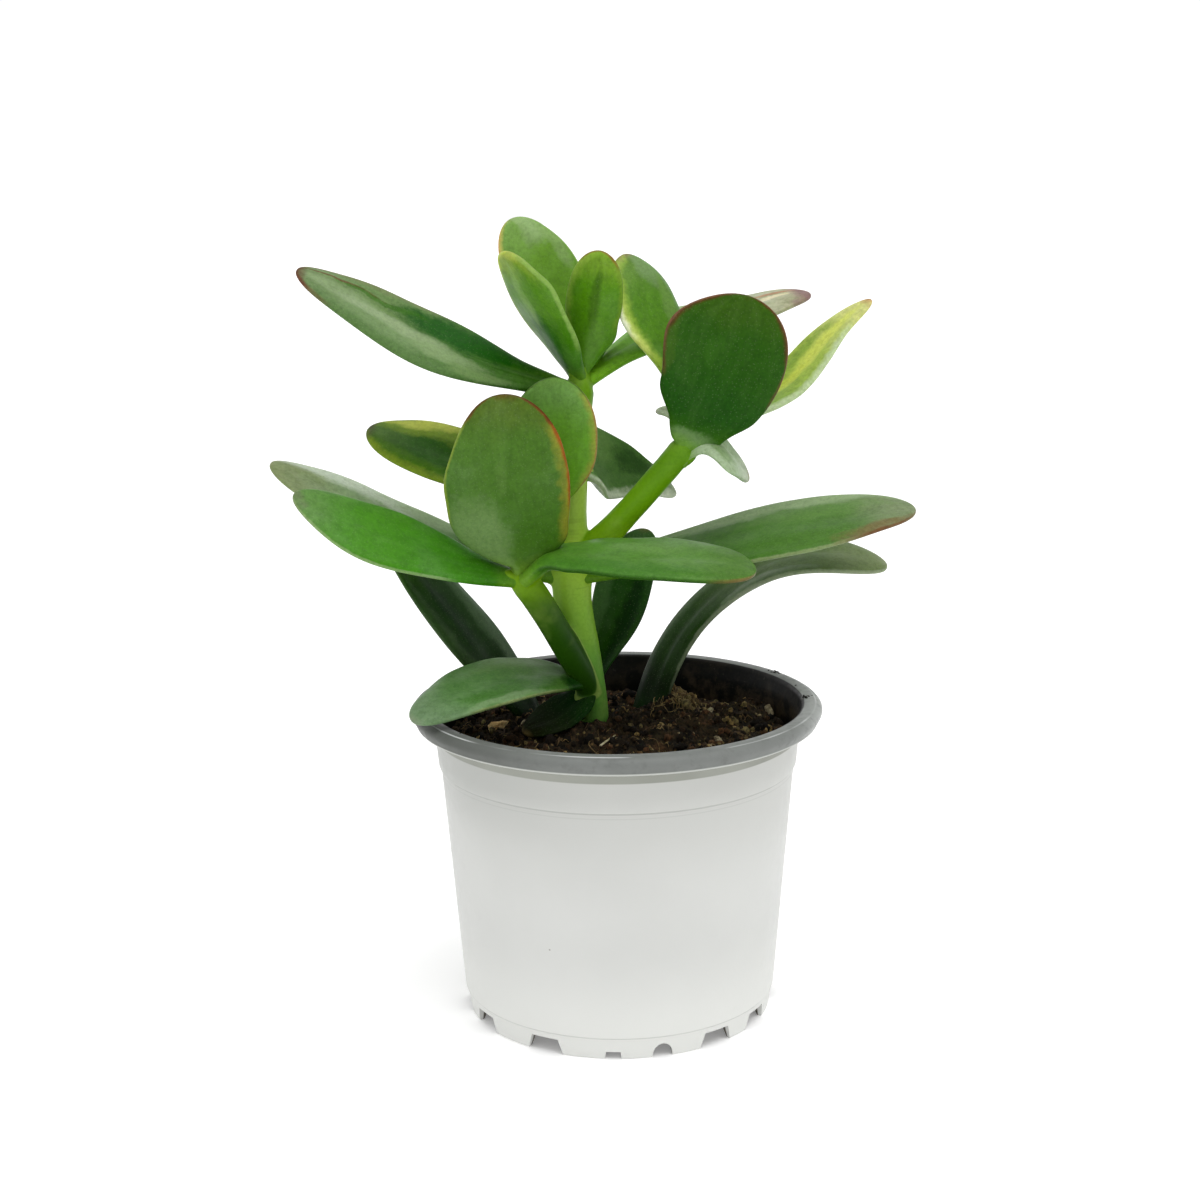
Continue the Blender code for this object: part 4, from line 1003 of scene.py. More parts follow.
# joint: a point on the stem's axis and the stem's radius there; sunk: a root in the soil; start and face: heading and
# rise; seat: rise of the root's place on the stem; colours: from the base to the tip, as seen
leaves = {
    # at the top of the trunk
    "topLeft": {
        "node": "leaf_top_left", "slot": "leaf_grey_green", "joint": (-8.8, 0.0, 159.5, 3.9), "start": (186, 18),
        "tip": (-76, -10, 191), "face": (292, 54), "width": 18.5, "shape": "long", "cup": 1.0,
        "bulges": [(-1, 0.52, 0.4, 2.6), (1, 0.22, 0.25, -1.2)],
        "colours": [(73, 121, 18), (50, 96, 15), (104, 130, 80), (118, 138, 98)],
        "tipColour": ((92, 52, 42), 0.95, 0.85), "streaks": 0.2, "shine": 0.1, "bloom": 0.08,
        # patches 3 to 8, pale along the middle from the tip down, are a painted highlight: the light's reflection on
        # the wax
        "patches": [((90, 120, 70), 0.62, 0.42, -0.8, 0.6, 0.95), ((34, 86, 2), 0.4, 0.32, 0.36, 0.62, 0.95),
                    ((124, 148, 104), 0.66, 0.3, -0.5, 0.34, 0.7), ((138, 158, 118), 0.86, 0.2, -0.06, 0.36, 0.8),
                    ((148, 166, 130), 0.72, 0.16, -0.16, 0.28, 0.8),
                    ((146, 164, 126), 0.58, 0.16, -0.3, 0.28, 0.8),
                    ((136, 158, 114), 0.45, 0.15, -0.56, 0.26, 0.8),
                    ((122, 148, 96), 0.34, 0.12, -0.84, 0.22, 0.7), ((118, 128, 88), 0.76, 0.28, 0.92, 0.2, 0.7),
                    ((104, 66, 48), 0.88, 0.16, 0.5, 0.08, 0.8), ((58, 104, 20), 0.72, 0.2, 0.42, 0.12, 0.7)],
        "margins": [((150, 132, 112), 0.7, 1, 0.35, 0.98, 0.6), ((112, 64, 54), 0.9, 0, 0.93, 1.0, 0.9)],
    },
    "topRight": {
        "node": "leaf_top_right", "slot": "leaf_bright", "joint": (-8.8, 0.0, 161.1, 3.4), "start": (38, 33),
        "tip": (50.8, 25, 181.6), "face": (270, 76), "width": 19, "shape": "spoon",
        "bulges": [(-1, 0.15, 0.2, -0.7), (1, 0.15, 0.2, -0.7)], "bends": [(0.72, 0.26, (0, 0, -1.3))],
        # the pale far half of the blade and the cream patch near the tip are a painted sheen
        "colours": [(124, 180, 40), (114, 168, 50), (178, 186, 158), (172, 168, 140)],
        "tipColour": ((125, 86, 94), 0.92, 0.8), "neck": (124, 178, 44),
        "patches": [((172, 118, 88), 0.9, 0.14, -0.3, 0.14, 0.75),
                    ((228, 218, 184), 0.84, 0.14, 0.0, 0.16, 0.75)],
        "margins": [((150, 104, 100), 0.7, -1, 0.6, 0.99, 0.7)],
    },
    "topBack": {
        "node": "leaf_top_back", "slot": "leaf_bright", "joint": (-8.6, 0.0, 162.7, 2.9), "start": (98, 52),
        "tip": (-26.2, 16, 201.5), "face": (285, 12), "width": 19, "shape": "spoon",
        "colours": [(60, 110, 8), (104, 152, 30), (107, 152, 46), (124, 162, 82)],
        "tipColour": ((182, 172, 134), 0.97, 0.6),
        "patches": [((152, 178, 124), 0.93, 0.14, 0.5, 0.5, 0.75), ((136, 166, 102), 0.8, 0.18, 0.8, 0.25, 0.75)],
        "margins": [((196, 186, 104), 1.5, -1, 0.6, 0.99, 0.85), ((206, 150, 104), 0.5, -1, 0.8, 0.99, 0.7),
                    ((170, 188, 140), 0.5, 1, 0.5, 0.98, 0.7)],
    },
    "topFrontLeft": {
        "node": "leaf_top_front_left", "slot": "leaf_bright", "joint": (-8.6, 0.0, 162.7, 2.9),
        "start": (225, 66), "tip": (-25.4, -15, 195), "face": (34, 22), "width": 20.5, "shape": "spoon",
        "bulges": [(1, 0.45, 0.45, 2.4), (1, 0.12, 0.14, 1.2)], "bends": [(0.5, 0.5, (-1.2, 0, -0.2))],
        "colours": [(64, 116, 14), (70, 124, 20), (94, 142, 42), (134, 162, 58)],
        "tipColour": ((184, 190, 96), 0.95, 0.6),
        # the second patch and the last margin line, both pale, are painted highlights
        "patches": [((46, 98, 3), 0.34, 0.28, 0.0, 0.6, 0.85), ((136, 172, 92), 0.72, 0.3, 0.1, 0.2, 0.6),
                    ((84, 134, 34), 0.8, 0.2, -0.5, 0.4, 0.6)],
        "margins": [((164, 184, 56), 3.2, 1, 0.25, 0.99, 0.85), ((204, 212, 86), 1.8, 1, 0.35, 0.99, 0.85),
                    ((146, 178, 96), 0.6, -1, 0.3, 0.98, 0.7)],
    },
    "topMiddle": {
        "node": "leaf_top_middle", "slot": "leaf_bright", "joint": (-8.2, 0.0, 164.6, 1.6), "start": (325, 74),
        "tip": (-3, -9, 194.8), "face": (80, 10), "width": 14, "shape": "spoon",
        "bulges": [(-1, 0.35, 0.16, 1.0)],
        "colours": [(88, 140, 28), (88, 140, 32), (90, 142, 28), (122, 160, 48)],
        "tipColour": ((140, 118, 52), 0.98, 0.5),
        "patches": [((70, 108, 14), 0.66, 0.32, -0.1, 0.24, 0.8), ((108, 150, 66), 0.34, 0.22, -0.3, 0.4, 0.5)],
        "margins": [((152, 182, 76), 2.6, 1, 0.3, 0.96, 0.8), ((124, 156, 56), 1.3, -1, 0.45, 0.95, 0.7),
                    ((132, 92, 44), 0.6, 0, 0.92, 1.0, 0.85)],
    },
    "topInner": {
        "node": "leaf_top_inner", "slot": "leaf_bright", "joint": (-8.2, 0.0, 164.6, 1.6), "start": (38, 40),
        "tip": (0.8, 5, 177.7), "face": (150, 40), "width": 8, "shape": "small",
        "colours": [(84, 136, 14), (76, 128, 14), (76, 128, 14), (96, 142, 40)],
    },
    # half way up the trunk
    "midLeft": {
        "node": "leaf_mid_left", "slot": "leaf_mid", "joint": (-10.9, 0.0, 136.5, 4.1), "start": (180, 12),
        "tip": (-62.5, 8, 150), "face": (282, 48), "width": 19, "shape": "long",
        "colours": [(50, 92, 12), (50, 92, 14), (52, 96, 15), (78, 110, 40)],
        "tipColour": ((84, 78, 64), 0.94, 0.8),
        "patches": [((132, 156, 50), 0.68, 0.4, 0.66, 0.5, 0.75), ((190, 196, 90), 0.74, 0.28, 0.84, 0.3, 0.9),
                    ((84, 122, 30), 0.75, 0.25, -0.7, 0.3, 0.6)],
        "margins": [((124, 146, 44), 2.4, -1, 0.45, 0.97, 0.85)],
    },
    "midRight": {
        "node": "leaf_mid_right", "slot": "leaf_dark", "joint": (-10.9, 0.0, 139.5, 3.9), "start": (62, 30),
        "tip": (16, 24, 129.8), "face": (285, 38), "width": 19, "shape": "drop", "bow": 0.35,
        "bends": [(0.45, 0.45, (-1.0, 0, -3.4))],
        "bulges": [(-1, 0.45, 0.35, 5.6), (-1, 0.86, 0.2, -1.6), (1, 0.4, 0.3, -0.8)],
        "colours": [(90, 130, 60), (84, 120, 58), (72, 108, 48), (120, 138, 104)],
        "tipColour": ((170, 178, 158), 0.93, 0.7),
        "patches": [((112, 146, 82), 0.42, 0.2, -0.7, 0.4, 0.6), ((30, 62, 16), 0.72, 0.2, -0.4, 0.5, 0.6)],
        "margins": [((200, 208, 188), 3.2, 1, 0.02, 0.99, 0.95)],
    },
    # on the left branch
    "leftLong": {
        "node": "leaf_left_long", "slot": "leaf_mid", "joint": (-22.8, -10.6, 114.4, 4.5), "start": (192, 16),
        "tip": (-77.5, -20, 138.2), "face": (286, 56), "width": 18, "shape": "long",
        "bulges": [(-1, 0.7, 0.32, 1.9)],
        "colours": [(54, 112, 12), (66, 130, 30), (76, 136, 38), (98, 138, 72)],
        "tipColour": ((118, 112, 98), 0.95, 0.7),
        # the last margin, a thin pale line on the rounded edge, is a painted highlight
        "margins": [((150, 176, 120), 0.5, 1, 0.3, 0.98, 0.5),
                    ((112, 112, 76), 1.0, -1, 0.35, 0.99, 0.8, -0.6, 0.6),
                    ((186, 200, 156), 0.35, -1, 0.3, 0.98, 0.35, 0.2, 0.4)],
    },
    "rightFront": {
        "node": "leaf_right_front", "slot": "leaf_mid", "joint": (-22.8, -10.8, 114.6, 4.0), "start": (332, 36),
        "tip": (33.7, -25, 119.0), "face": (270, 77), "width": 23, "shape": "blunt", "bow": 0.4, "neckThick": 4.2,
        "bends": [(0.62, 0.42, (0, 0, -1.6)), (0.16, 0.16, (0, 0, 1.5))],
        "bulges": [(-1, 0.48, 0.3, -0.8), (-1, 0.88, 0.16, 0.9), (1, 0.84, 0.2, 0.8)],
        "colours": [(88, 142, 36), (86, 134, 50), (95, 138, 64), (82, 120, 50)],
        "tipColour": ((92, 86, 48), 0.975, 0.6), "neck": (112, 154, 50), "neckStrength": 0.9,
        "patches": [((70, 118, 44), 0.5, 0.45, 0.8, 0.45, 0.8), ((122, 154, 96), 0.6, 0.2, -0.3, 0.3, 0.35)],
        "margins": [((46, 84, 20), 1.3, 1, 0.12, 0.99, 0.85, -0.4, 0.7), ((132, 98, 66), 0.6, 0, 0.93, 1.0, 0.7)],
    },
    "frontRound": {
        "node": "leaf_front_round", "slot": "leaf_mid", "joint": (-23.1, -11.0, 118.6, 2.6), "start": (256, 62),
        "tip": (-26.2, -22, 162.2), "face": (90, 14), "width": 30, "shape": "disc", "seat": 50, "stalk": 0.07,
        "neckThick": 5.0, "deeper": 3.4,
        "bulges": [(1, 0.82, 0.3, -1.0), (1, 0.5, 0.45, 1.1), (1, 0.26, 0.24, 1.8), (-1, 0.55, 0.4, -0.7),
                   (-1, 0.16, 0.16, 1.6)], "collar": 0.0,
        "colours": [(76, 114, 40), (68, 108, 34), (78, 116, 44), (84, 108, 40)],
        "tipColour": ((92, 64, 30), 0.97, 0.8), "neck": (120, 158, 50),
        "patches": [((114, 144, 88), 0.26, 0.3, 0.6, 0.6, 0.75), ((62, 102, 26), 0.24, 0.14, -0.4, 0.45, 0.6),
                    ((98, 130, 66), 0.6, 0.14, 0.15, 0.12, 0.3), ((70, 108, 34), 0.7, 0.2, -0.4, 0.4, 0.4)],
        "margins": [((152, 146, 54), 3.2, -1, 0.22, 0.84, 0.7), ((156, 78, 32), 1.0, -1, 0.42, 0.95, 0.9),
                    ((146, 164, 68), 0.8, 1, 0.35, 0.9, 0.7), ((92, 56, 32), 1.1, 0, 0.86, 1.0, 0.9)],
    },
    "leftBack": {
        "node": "leaf_left_back", "slot": "leaf_bright", "joint": (-23.1, -10.7, 119.0, 2.6), "start": (50, 58),
        "tip": (-14, -9.5, 164.6), "face": (268, 6), "width": 23.5, "shape": "spoon", "seat": 30,
        "bulges": [(1, 0.66, 0.3, -0.4), (1, 0.32, 0.34, -4.6)], "collar": 0.75,
        "colours": [(94, 142, 28), (94, 152, 24), (106, 160, 48), (116, 160, 80)],
        "tipColour": ((100, 130, 56), 0.97, 0.4),
        "margins": [((152, 158, 66), 2.4, 1, 0.5, 0.94, 0.8), ((168, 112, 80), 0.7, 1, 0.5, 0.9, 0.7),
                    ((70, 92, 36), 0.5, 0, 0.93, 1.0, 0.8)],
    },
    # on the right branch
    "darkRound": {
        "node": "leaf_dark_round", "slot": "leaf_dark", "joint": (16.9, -9.0, 146.6, 3.4), "start": (330, 58),
        "tip": (31.6, -17, 184.5), "face": (92, 12), "collar": 0.7, "width": 30.5, "shape": "round",
        "seat": 70, "stalk": 0.04, "neckThick": 4.8, "deeper": 2.6,
        "bulges": [(1, 0.06, 0.1, -0.9), (1, 0.17, 0.2, -3.1), (-1, 0.19, 0.14, -1.4), (1, 0.42, 0.2, -1.0),
                   (1, 0.76, 0.24, 1.4)],
        "colours": [(60, 104, 24), (38, 80, 10), (46, 86, 18), (60, 92, 30)],
        "tipColour": ((84, 58, 36), 0.985, 0.5), "shine": 0.07, "bloom": 0.08, "bloomColour": (84, 118, 60),
        "patches": [((76, 106, 42), 0.66, 0.26, 0.98, 0.2, 0.5), ((60, 102, 36), 0.66, 0.12, 0.2, 0.2, 0.5),
                    ((118, 148, 98), 0.07, 0.12, 0.0, 1.2, 0.75)],
        "margins": [((84, 54, 34), 1.7, 0, 0.72, 1.0, 0.9), ((96, 72, 46), 1.0, 0, 0.44, 0.98, 0.8),
                    ((128, 92, 74), 0.5, 0, 0.6, 1.0, 0.8)],
    },
    "rightOuter": {
        "node": "leaf_right_outer", "slot": "leaf_bright", "joint": (17.0, -9.0, 147.0, 3.9), "start": (45, 25),
        "tip": (65.1, 14, 180.9), "face": (214, 43), "width": 18.4, "shape": "pointed", "bow": 0.4,
        "bends": [(0.55, 0.4, (2.0, 0, -3.1))], "bulges": [(-1, 0.6, 0.2, -1.0), (1, 0.87, 0.14, -0.9)],
        "colours": [(104, 144, 54), (112, 150, 52), (166, 190, 84), (216, 216, 140)],
        "tipColour": ((176, 96, 76), 0.965, 0.9),
        "patches": [((212, 220, 104), 0.78, 0.22, 0.06, 0.42, 0.85), ((196, 206, 84), 0.52, 0.2, 0.1, 0.24, 0.7),
                    ((126, 158, 64), 0.66, 0.2, -0.5, 0.3, 0.6)],
        "margins": [((190, 206, 166), 2.0, 1, 0.15, 0.85, 0.85), ((188, 204, 104), 0.8, -1, 0.3, 0.96, 0.7)],
    },
    "rightInner": {
        "node": "leaf_right_inner", "slot": "leaf_bright", "joint": (18.2, -9.0, 149.8, 3.0), "start": (118, 68),
        "tip": (2.4, 5, 193.2), "face": (300, 20), "width": 18, "shape": "long", "seat": 25, "collar": 0.75,
        "bulges": [(-1, 0.34, 0.4, -4.4), (1, 0.86, 0.2, 0.8), (-1, 0.94, 0.1, 1.6)],
        "bends": [(0.32, 0.36, (1.4, 0, 0))],
        "colours": [(90, 136, 24), (84, 132, 24), (88, 136, 38), (110, 146, 70)],
        "tipColour": ((148, 116, 96), 0.95, 0.8),
        "patches": [((112, 144, 78), 0.72, 0.22, 0.75, 0.3, 0.65), ((128, 152, 112), 0.9, 0.12, 0.5, 0.4, 0.6)],
        # the near-white third margin on the left edge is a painted highlight
        "margins": [((168, 196, 78), 4.4, -1, 0.4, 0.97, 0.75), ((204, 216, 116), 2.6, -1, 0.5, 0.95, 0.9),
                    ((244, 246, 226), 1.4, -1, 0.62, 0.76, 0.85), ((128, 152, 120), 1.2, 1, 0.55, 0.98, 0.6)],
    },
    "smallRight": {
        "node": "leaf_small_right", "slot": "leaf_pale", "joint": (15.8, -9.0, 143.0, 3.4), "start": (352, 42),
        "tip": (33.2, -3, 138.3), "face": (270, 60), "width": 11, "shape": "tongue", "bow": 0.5,
        "bends": [(0.45, 0.5, (-0.4, 0, 3.0))],
        "bulges": [(1, 0.58, 0.34, 5.2), (-1, 0.72, 0.25, -1.2), (1, 0.16, 0.2, -1.0)],
        # the pale colours are a painted sheen on its upper face
        "colours": [(130, 164, 90), (172, 192, 158), (172, 192, 158), (186, 196, 176)],
        "patches": [((118, 148, 92), 0.55, 0.2, 0.4, 0.35, 0.7)],
    },
    "smallLeft": {
        "node": "leaf_small_left", "slot": "leaf_pale", "joint": (17.8, -8.8, 150.2, 2.6), "start": (170, 72),
        "tip": (10.4, -3.4, 155.2), "face": (262, 40), "width": 3.4, "shape": "small", "bow": 0.62, "collar": 0.0,
        # the pale colours are a painted sheen
        "colours": [(120, 150, 80), (176, 186, 160), (176, 186, 160), (184, 192, 170)],
    },
    # the long pair low on the trunk
    "lowLeft": {
        "node": "leaf_low_left", "slot": "leaf_grey_green", "joint": (-11.1, 1.0, 112.6, 5.1), "start": (168, 5),
        "tip": (-87.5, 8, 141.2), "face": (275, 75), "width": 24, "shape": "long",
        "bends": [(0.72, 0.42, (0, 0, 1.7)), (0.2, 0.22, (0, 0, 1.9))],
        "colours": [(70, 112, 30), (96, 138, 70), (140, 164, 122), (132, 142, 102)],
        "tipColour": ((140, 126, 96), 0.965, 0.7),
        # both pale patches are a painted highlight
        "patches": [((196, 206, 190), 0.76, 0.3, 0.75, 0.5, 0.9), ((152, 172, 136), 0.5, 0.2, 0.8, 0.4, 0.8)],
    },
    "lowRight": {
        "node": "leaf_low_right", "slot": "leaf_mid", "joint": (-11.1, 1.0, 112.6, 5.1), "start": (352, 17),
        "tip": (74.8, -4, 129.3), "face": (272, 72), "width": 27, "shape": "long", "bow": 0.54,
        "bends": [(0.94, 0.3, (0, 0, 1.1)), (0.35, 0.25, (0, 0, -0.8))],
        "colours": [(70, 112, 30), (72, 116, 40), (76, 116, 46), (124, 138, 104)],
        "tipColour": ((148, 148, 126), 0.965, 0.6),
        # the first, pale patch is a painted highlight
        "patches": [((146, 167, 128), 0.55, 0.55, -0.92, 0.5, 0.9), ((108, 144, 80), 0.7, 0.3, -0.3, 0.3, 0.4),
                    ((118, 104, 68), 0.86, 0.14, 0.85, 0.28, 0.85)],
        "margins": [((150, 160, 120), 0.5, 1, 0.3, 0.8, 0.6), ((110, 70, 48), 0.6, 1, 0.78, 0.99, 0.8)],
    },
    # near the soil
    "behind": {
        "node": "leaf_behind", "slot": "leaf_dark", "joint": (-6.6, 2.0, 84.5, 4.4), "start": (78, 62),
        "tip": (9.0, 20, 121.2), "face": (262, 8), "width": 14.8, "shape": "spoon", "seat": 5,
        "bends": [(0.42, 0.45, (1.8, 0, 0))],
        "colours": [(30, 62, 18), (40, 72, 26), (36, 72, 18), (70, 104, 56)], "neck": (34, 62, 16),
        "bloomColour": (88, 108, 84), "streaks": 0.0,
        "patches": [((72, 102, 62), 0.5, 0.4, -0.7, 0.4, 0.75), ((18, 46, 10), 0.45, 0.4, 0.5, 0.4, 0.8)],
        "margins": [((110, 128, 100), 0.5, -1, 0.2, 0.95, 0.6)],
    },
    "behindSmall": {
        "node": "leaf_behind_small", "slot": "leaf_pale", "joint": (-7.2, 2.0, 87.5, 4.2), "start": (122, 44),
        "tip": (-17.4, 17, 96), "face": (300, 30), "width": 9, "shape": "small", "seat": 5,
        "colours": [(50, 80, 34), (92, 112, 78), (92, 112, 78), (110, 124, 96)],
    },
    "overRim": {
        "node": "leaf_over_rim", "slot": "leaf_mid", "joint": (-6.6, 2.0, 84.5, 4.4), "start": (205, 22),
        "tip": (-48.9, -26, 82.9), "face": (278, 77), "width": 23.5, "shape": "oval",
        "bends": [(1.0, 0.3, (-0.7, -0.4, -0.2))], "bulges": [(1, 0.22, 0.16, 1.4), (1, 0.62, 0.18, -0.9)],
        "colours": [(56, 98, 30), (82, 124, 54), (88, 128, 70), (110, 136, 102)],
        "tipColour": ((140, 146, 130), 0.965, 0.6), "neck": (44, 84, 22), "bloom": 0.3,
        # the pale third patch and the first margin line are painted highlights along the lower margin; the dark
        # fourth patch and the second margin line are painted shade under the leaf near the stem
        "patches": [((62, 108, 34), 0.5, 0.34, -0.5, 0.45, 0.85), ((108, 138, 82), 0.4, 0.3, 0.6, 0.35, 0.5),
                    ((126, 152, 110), 0.62, 0.32, -0.92, 0.14, 0.7), ((24, 62, 12), 0.1, 0.14, -0.8, 0.5, 0.9)],
        "margins": [((150, 162, 106), 0.3, -1, 0.2, 0.8, 0.6, 0.1, 0.5),
                    ((36, 66, 22), 1.2, -1, 0.1, 0.95, 0.7, -0.7, 0.5)],
    },
    "onSoil": {
        "node": "leaf_on_soil", "slot": "leaf_dark", "joint": (-6.6, 2.0, 84.5, 4.4), "start": (222, -42),
        "tip": (-23.8, -8.6, 74.6), "face": (265, 70), "width": 12.6, "shape": "small", "bow": 0.35,
        # the dark colours are partly painted shade: the shade that the leaf above casts on it
        "colours": [(30, 62, 14), (24, 54, 12), (40, 48, 32), (38, 38, 26)], "neck": (36, 70, 18),
        "bloomColour": (80, 96, 76), "shine": 0.06, "rough": 0.6,
    },
    "fromSoil": {
        "node": "leaf_from_soil", "slot": "leaf_dark", "sunk": (7.5, 17, 69), "start": (5, 77),
        "tip": (70.5, 14, 111.8), "face": (250, 70), "width": 21, "shape": "strap", "bow": 0.73, "twist": -20,
        "bends": [(0.8, 0.28, (0, 0, 1.3))], "bulges": [(-1, 0.22, 0.26, 1.8), (1, 0.64, 0.2, -0.8)],
        "colours": [(14, 26, 6), (50, 78, 36), (90, 112, 64), (110, 124, 84)],
        "tipColour": ((147, 150, 128), 0.965, 0.6), "neck": (34, 62, 16), "bloomColour": (88, 108, 84),
        "streaks": 0.0,
        "patches": [((128, 142, 120), 0.6, 0.24, 0.85, 0.25, 0.8), ((96, 118, 84), 0.45, 0.3, -0.8, 0.4, 0.5)],
        "margins": [((150, 160, 136), 0.5, 0, 0.15, 0.98, 0.6)],
    },
    "behindLeft": {
        "node": "leaf_behind_left", "slot": "leaf_dark", "sunk": (-21, 16, 69), "start": (175, 62),
        "tip": (-59.2, 12, 121), "face": (318, 42), "width": 20, "shape": "long", "bow": 0.4,
        "bends": [(0.6, 0.5, (-0.5, 0, -0.5))],
        "colours": [(14, 34, 10), (34, 60, 26), (40, 68, 30), (64, 92, 42)], "neck": (34, 62, 16),
        "bloomColour": (88, 108, 84), "streaks": 0.0,
        "patches": [((84, 106, 78), 0.5, 0.4, 0.75, 0.4, 0.8), ((70, 95, 56), 0.5, 0.4, -0.9, 0.3, 0.7),
                    ((24, 50, 16), 0.65, 0.2, -0.2, 0.3, 0.6)],
        "margins": [((128, 144, 122), 0.6, 1, 0.15, 0.95, 0.6)],
    },
}
for leafName, leaf in leaves.items():
    growLeaf(leafName + "Leaf", {**plainLeaf, **leaf})
print("leaves made")


# the stem: trunk and two branches grown together, with a collar where each leaf sits

stem = {
    "branches": ("trunk", "leftBranch", "rightBranch"),      # each a list of points: x, y, height, radius
    "trunk": [
        (-5.2, 3.0, 62.0, 2.9), (-5.6, 2.8, 70.0, 3.5), (-5.9, 2.4, 79.0, 3.6), (-6.9, 2.0, 85.0, 3.9),
        (-8.6, 1.6, 94.0, 4.4), (-10.5, 1.2, 103.0, 4.8), (-11.1, 1.0, 108.0, 5.0), (-11.1, 1.0, 113.0, 5.2),
        (-11.1, 0.7, 119.0, 4.4), (-11.0, 0.2, 130.0, 3.9), (-10.9, 0.0, 136.5, 4.1), (-10.6, 0.0, 142.0, 3.8),
        (-10.0, 0.0, 150.0, 3.7), (-9.2, 0.0, 156.0, 3.8), (-8.8, 0.0, 160.0, 3.9), (-8.4, 0.0, 163.4, 2.6),
        (-8.2, 0.0, 166.0, 1.2),
    ],
    "leftBranch": [
        (-6.6, 1.2, 83.0, 3.0), (-9.4, -1.8, 89.0, 3.4), (-12.9, -4.8, 96.5, 3.6), (-16.9, -7.6, 104.5, 3.6),
        (-20.2, -9.6, 110.5, 3.7), (-22.7, -10.2, 114.6, 3.7), (-23.0, -9.4, 117.0, 2.2), (-23.0, -8.8, 118.2, 1.0),
    ],
    "rightBranch": [
        (-9.5, 0.2, 118.5, 3.2), (-3.4, -2.4, 123.4, 3.6), (3.8, -5.0, 131.2, 3.3), (10.2, -7.2, 138.8, 3.3),
        (14.6, -8.6, 144.2, 3.3), (16.4, -8.9, 146.6, 3.3), (17.4, -8.8, 148.6, 2.4), (18.0, -8.6, 150.4, 1.4),
    ],
    "voxel": 0.42,
    "smooth": (0.6, 12),            # strength and rounds
    "collar": (0.5, 3.4),           # where its middle is along the leaf, and half its length
    "collarMore": (0.25, 0.3),      # how much wider and thicker it is than the leaf's neck
    "fade": (1.4, 2.0),             # mm over which the colours of the left and right branch begin
    # trunk colours from the foot up: height in mm, colour
    "trunkColours": [(76, (90, 142, 60)), (88, (106, 164, 62)), (100, (134, 182, 62)), (118, (152, 190, 62)),
                     (136, (164, 196, 80)), (150, (144, 184, 62)), (160, (108, 154, 34))],
    "leftColours": [(84, (44, 78, 12)), (98, (46, 82, 4)), (106, (58, 96, 8)), (114, (108, 150, 24)),
                    (120, (126, 166, 36))],
    "rightColours": [(122, (124, 170, 30)), (134, (104, 152, 22)), (144, (92, 138, 26)), (150, (104, 146, 44))],
    "pale": (176, 202, 104),
}

branches = []
for branchName in stem["branches"]:
    route = stem[branchName]
    clearSelection()
    bpy.ops.curve.primitive_bezier_curve_add(location=(0, 0, 0))
    branch = bpy.context.object
    spline = branch.data.splines[0]
    spline.bezier_points.add(len(route) - 2)
    for point, (x, y, z, radius) in zip(spline.bezier_points, route):
        point.co = inPlace(Vector((x, y, z)))
        point.radius = radius
        point.handle_left_type = point.handle_right_type = "AUTO"
    branch.data.resolution_u = 10
    branch.data.bevel_depth = 1.0 * mm
    branch.data.bevel_resolution = 8
    branch.data.use_fill_caps = True
    bpy.ops.object.convert(target="MESH")
    branches.append(bpy.context.object)
for root, start, face, halfWide, halfThick in leafNecks:
    clearSelection()
    bpy.ops.mesh.primitive_uv_sphere_add(segments=24, ring_count=16, radius=1.0, location=(0, 0, 0))
    collar = bpy.context.object
    side = face.cross(start)
    for vertex in collar.data.vertices:
        x, y, z = vertex.co
        place = root + start * (stem["collar"][0] + stem["collar"][1] * z)
        place += side * (x * (halfWide + stem["collarMore"][0])) + face * (y * (halfThick + stem["collarMore"][1]))
        vertex.co = inPlace(place)
    branches.append(collar)
clearSelection()
for branch in branches:
    branch.select_set(True)
bpy.context.view_layer.objects.active = branches[0]
bpy.ops.object.join()
stemPiece = bpy.context.object
applyModifier(stemPiece, "REMESH", mode="VOXEL", voxel_size=stem["voxel"] * mm, use_smooth_shade=True)
applyModifier(stemPiece, "SMOOTH", factor=stem["smooth"][0], iterations=stem["smooth"][1])
settle(stemPiece, "stemWood")
bpy.ops.object.shade_smooth()

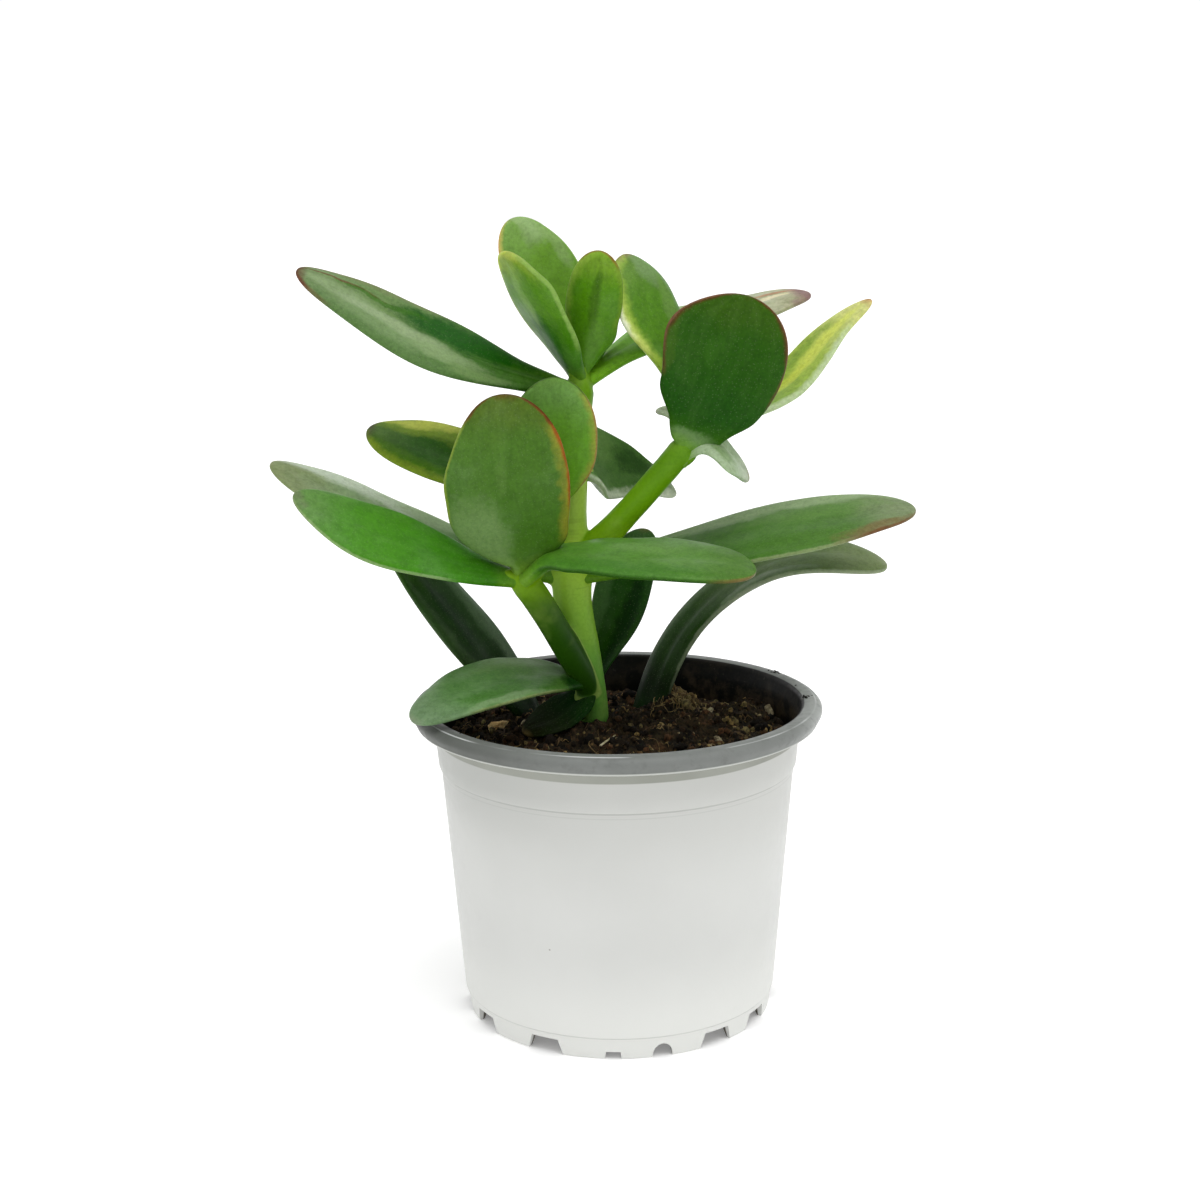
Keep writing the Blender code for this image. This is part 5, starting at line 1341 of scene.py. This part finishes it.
# for each point: nearness to the left and to the right branch, and height in mm
stemPlaces = []
for vertex in stemPiece.data.vertices:
    place = vertex.co / mm - potCentre
    nearest = {}
    for branchName in stem["branches"]:
        distances = []
        for first, second in zip(stem[branchName], stem[branchName][1:]):
            start, step = Vector(first[:3]), Vector(second[:3]) - Vector(first[:3])
            share = max(0.0, min(1.0, (place - start).dot(step) / step.length_squared))
            distances.append((place - start - step * share).length - (first[3] + (second[3] - first[3]) * share))
        nearest[branchName] = min(distances)
    left = smoothStep(0.5 + (nearest["trunk"] - nearest["leftBranch"]) / stem["fade"][0])
    right = smoothStep(0.5 + (nearest["trunk"] - nearest["rightBranch"]) / stem["fade"][1])
    if nearest["leftBranch"] > nearest["rightBranch"]:
        left = 0.0
    else:
        right = 0.0
    stemPlaces += [left, right, place.z]
store(stemPiece.data, "stemPlace", "FLOAT_VECTOR", stemPlaces)


def heightRamp(bench, height, stops):
    low, high = stops[0][0], stops[-1][0]
    share = bench.over(bench.minus(height, low), high - low)
    return bench.ramp(share, [((place - low) / (high - low), leafTint(*shade)) for place, shade in stops])


bench = Bench("stemSkin")
left, right, height = bench.parts(bench.attribute("stemPlace", "Vector"))
drift = bench.plus(height, bench.swing(bench.grain(120.0, 3.0), 6.0))
colour = heightRamp(bench, drift, stem["trunkColours"])
colour = bench.mix(left, colour, heightRamp(bench, drift, stem["leftColours"]))
colour = bench.mix(right, colour, heightRamp(bench, drift, stem["rightColours"]))
# a pale seam where a branch leaves the trunk, soft clouds, rings and fine grain
seam = bench.times(left, bench.minus(1.0, left))
colour = bench.mix(bench.span(seam, 0.12, 0.25, 0.0, 0.5), colour, leafTint(*stem["pale"]))
colour = bench.mix(bench.span(bench.grain(110.0, 3.0), 0.5, 0.72, 0.0, 0.16), colour, leafTint(*stem["pale"]))
ring = bench.grain(1.0, 2.0, 0.5, bench.stretch(bench.coords, (60.0, 60.0, 520.0)))
colour = bench.mix(bench.span(ring, 0.6, 0.72, 0.0, 0.22), colour, leafTint(66, 104, 24))
fine = bench.grain(1250.0, 2.0, 0.6)
colour = bench.darken(colour, bench.span(fine, 0.34, 0.6, 0.3, 0.0), (0.66, 0.7, 0.56))
stemBump = bench.bump(bench.grain(300.0, 3.0), 0.2, 0.0004)
stemBump = bench.bump(fine, 0.12, 0.0002, stemBump)
stemPiece.data.materials.append(bench.set(
    Base_Color=colour, Normal=stemBump, Roughness=0.45, Specular_IOR_Level=0.14,
    Subsurface_Weight=0.1, Subsurface_Radius=(0.6, 1.0, 0.2), Subsurface_Scale=0.0015))
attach(stemPiece, "root")
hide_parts("stem")
print("stem made")
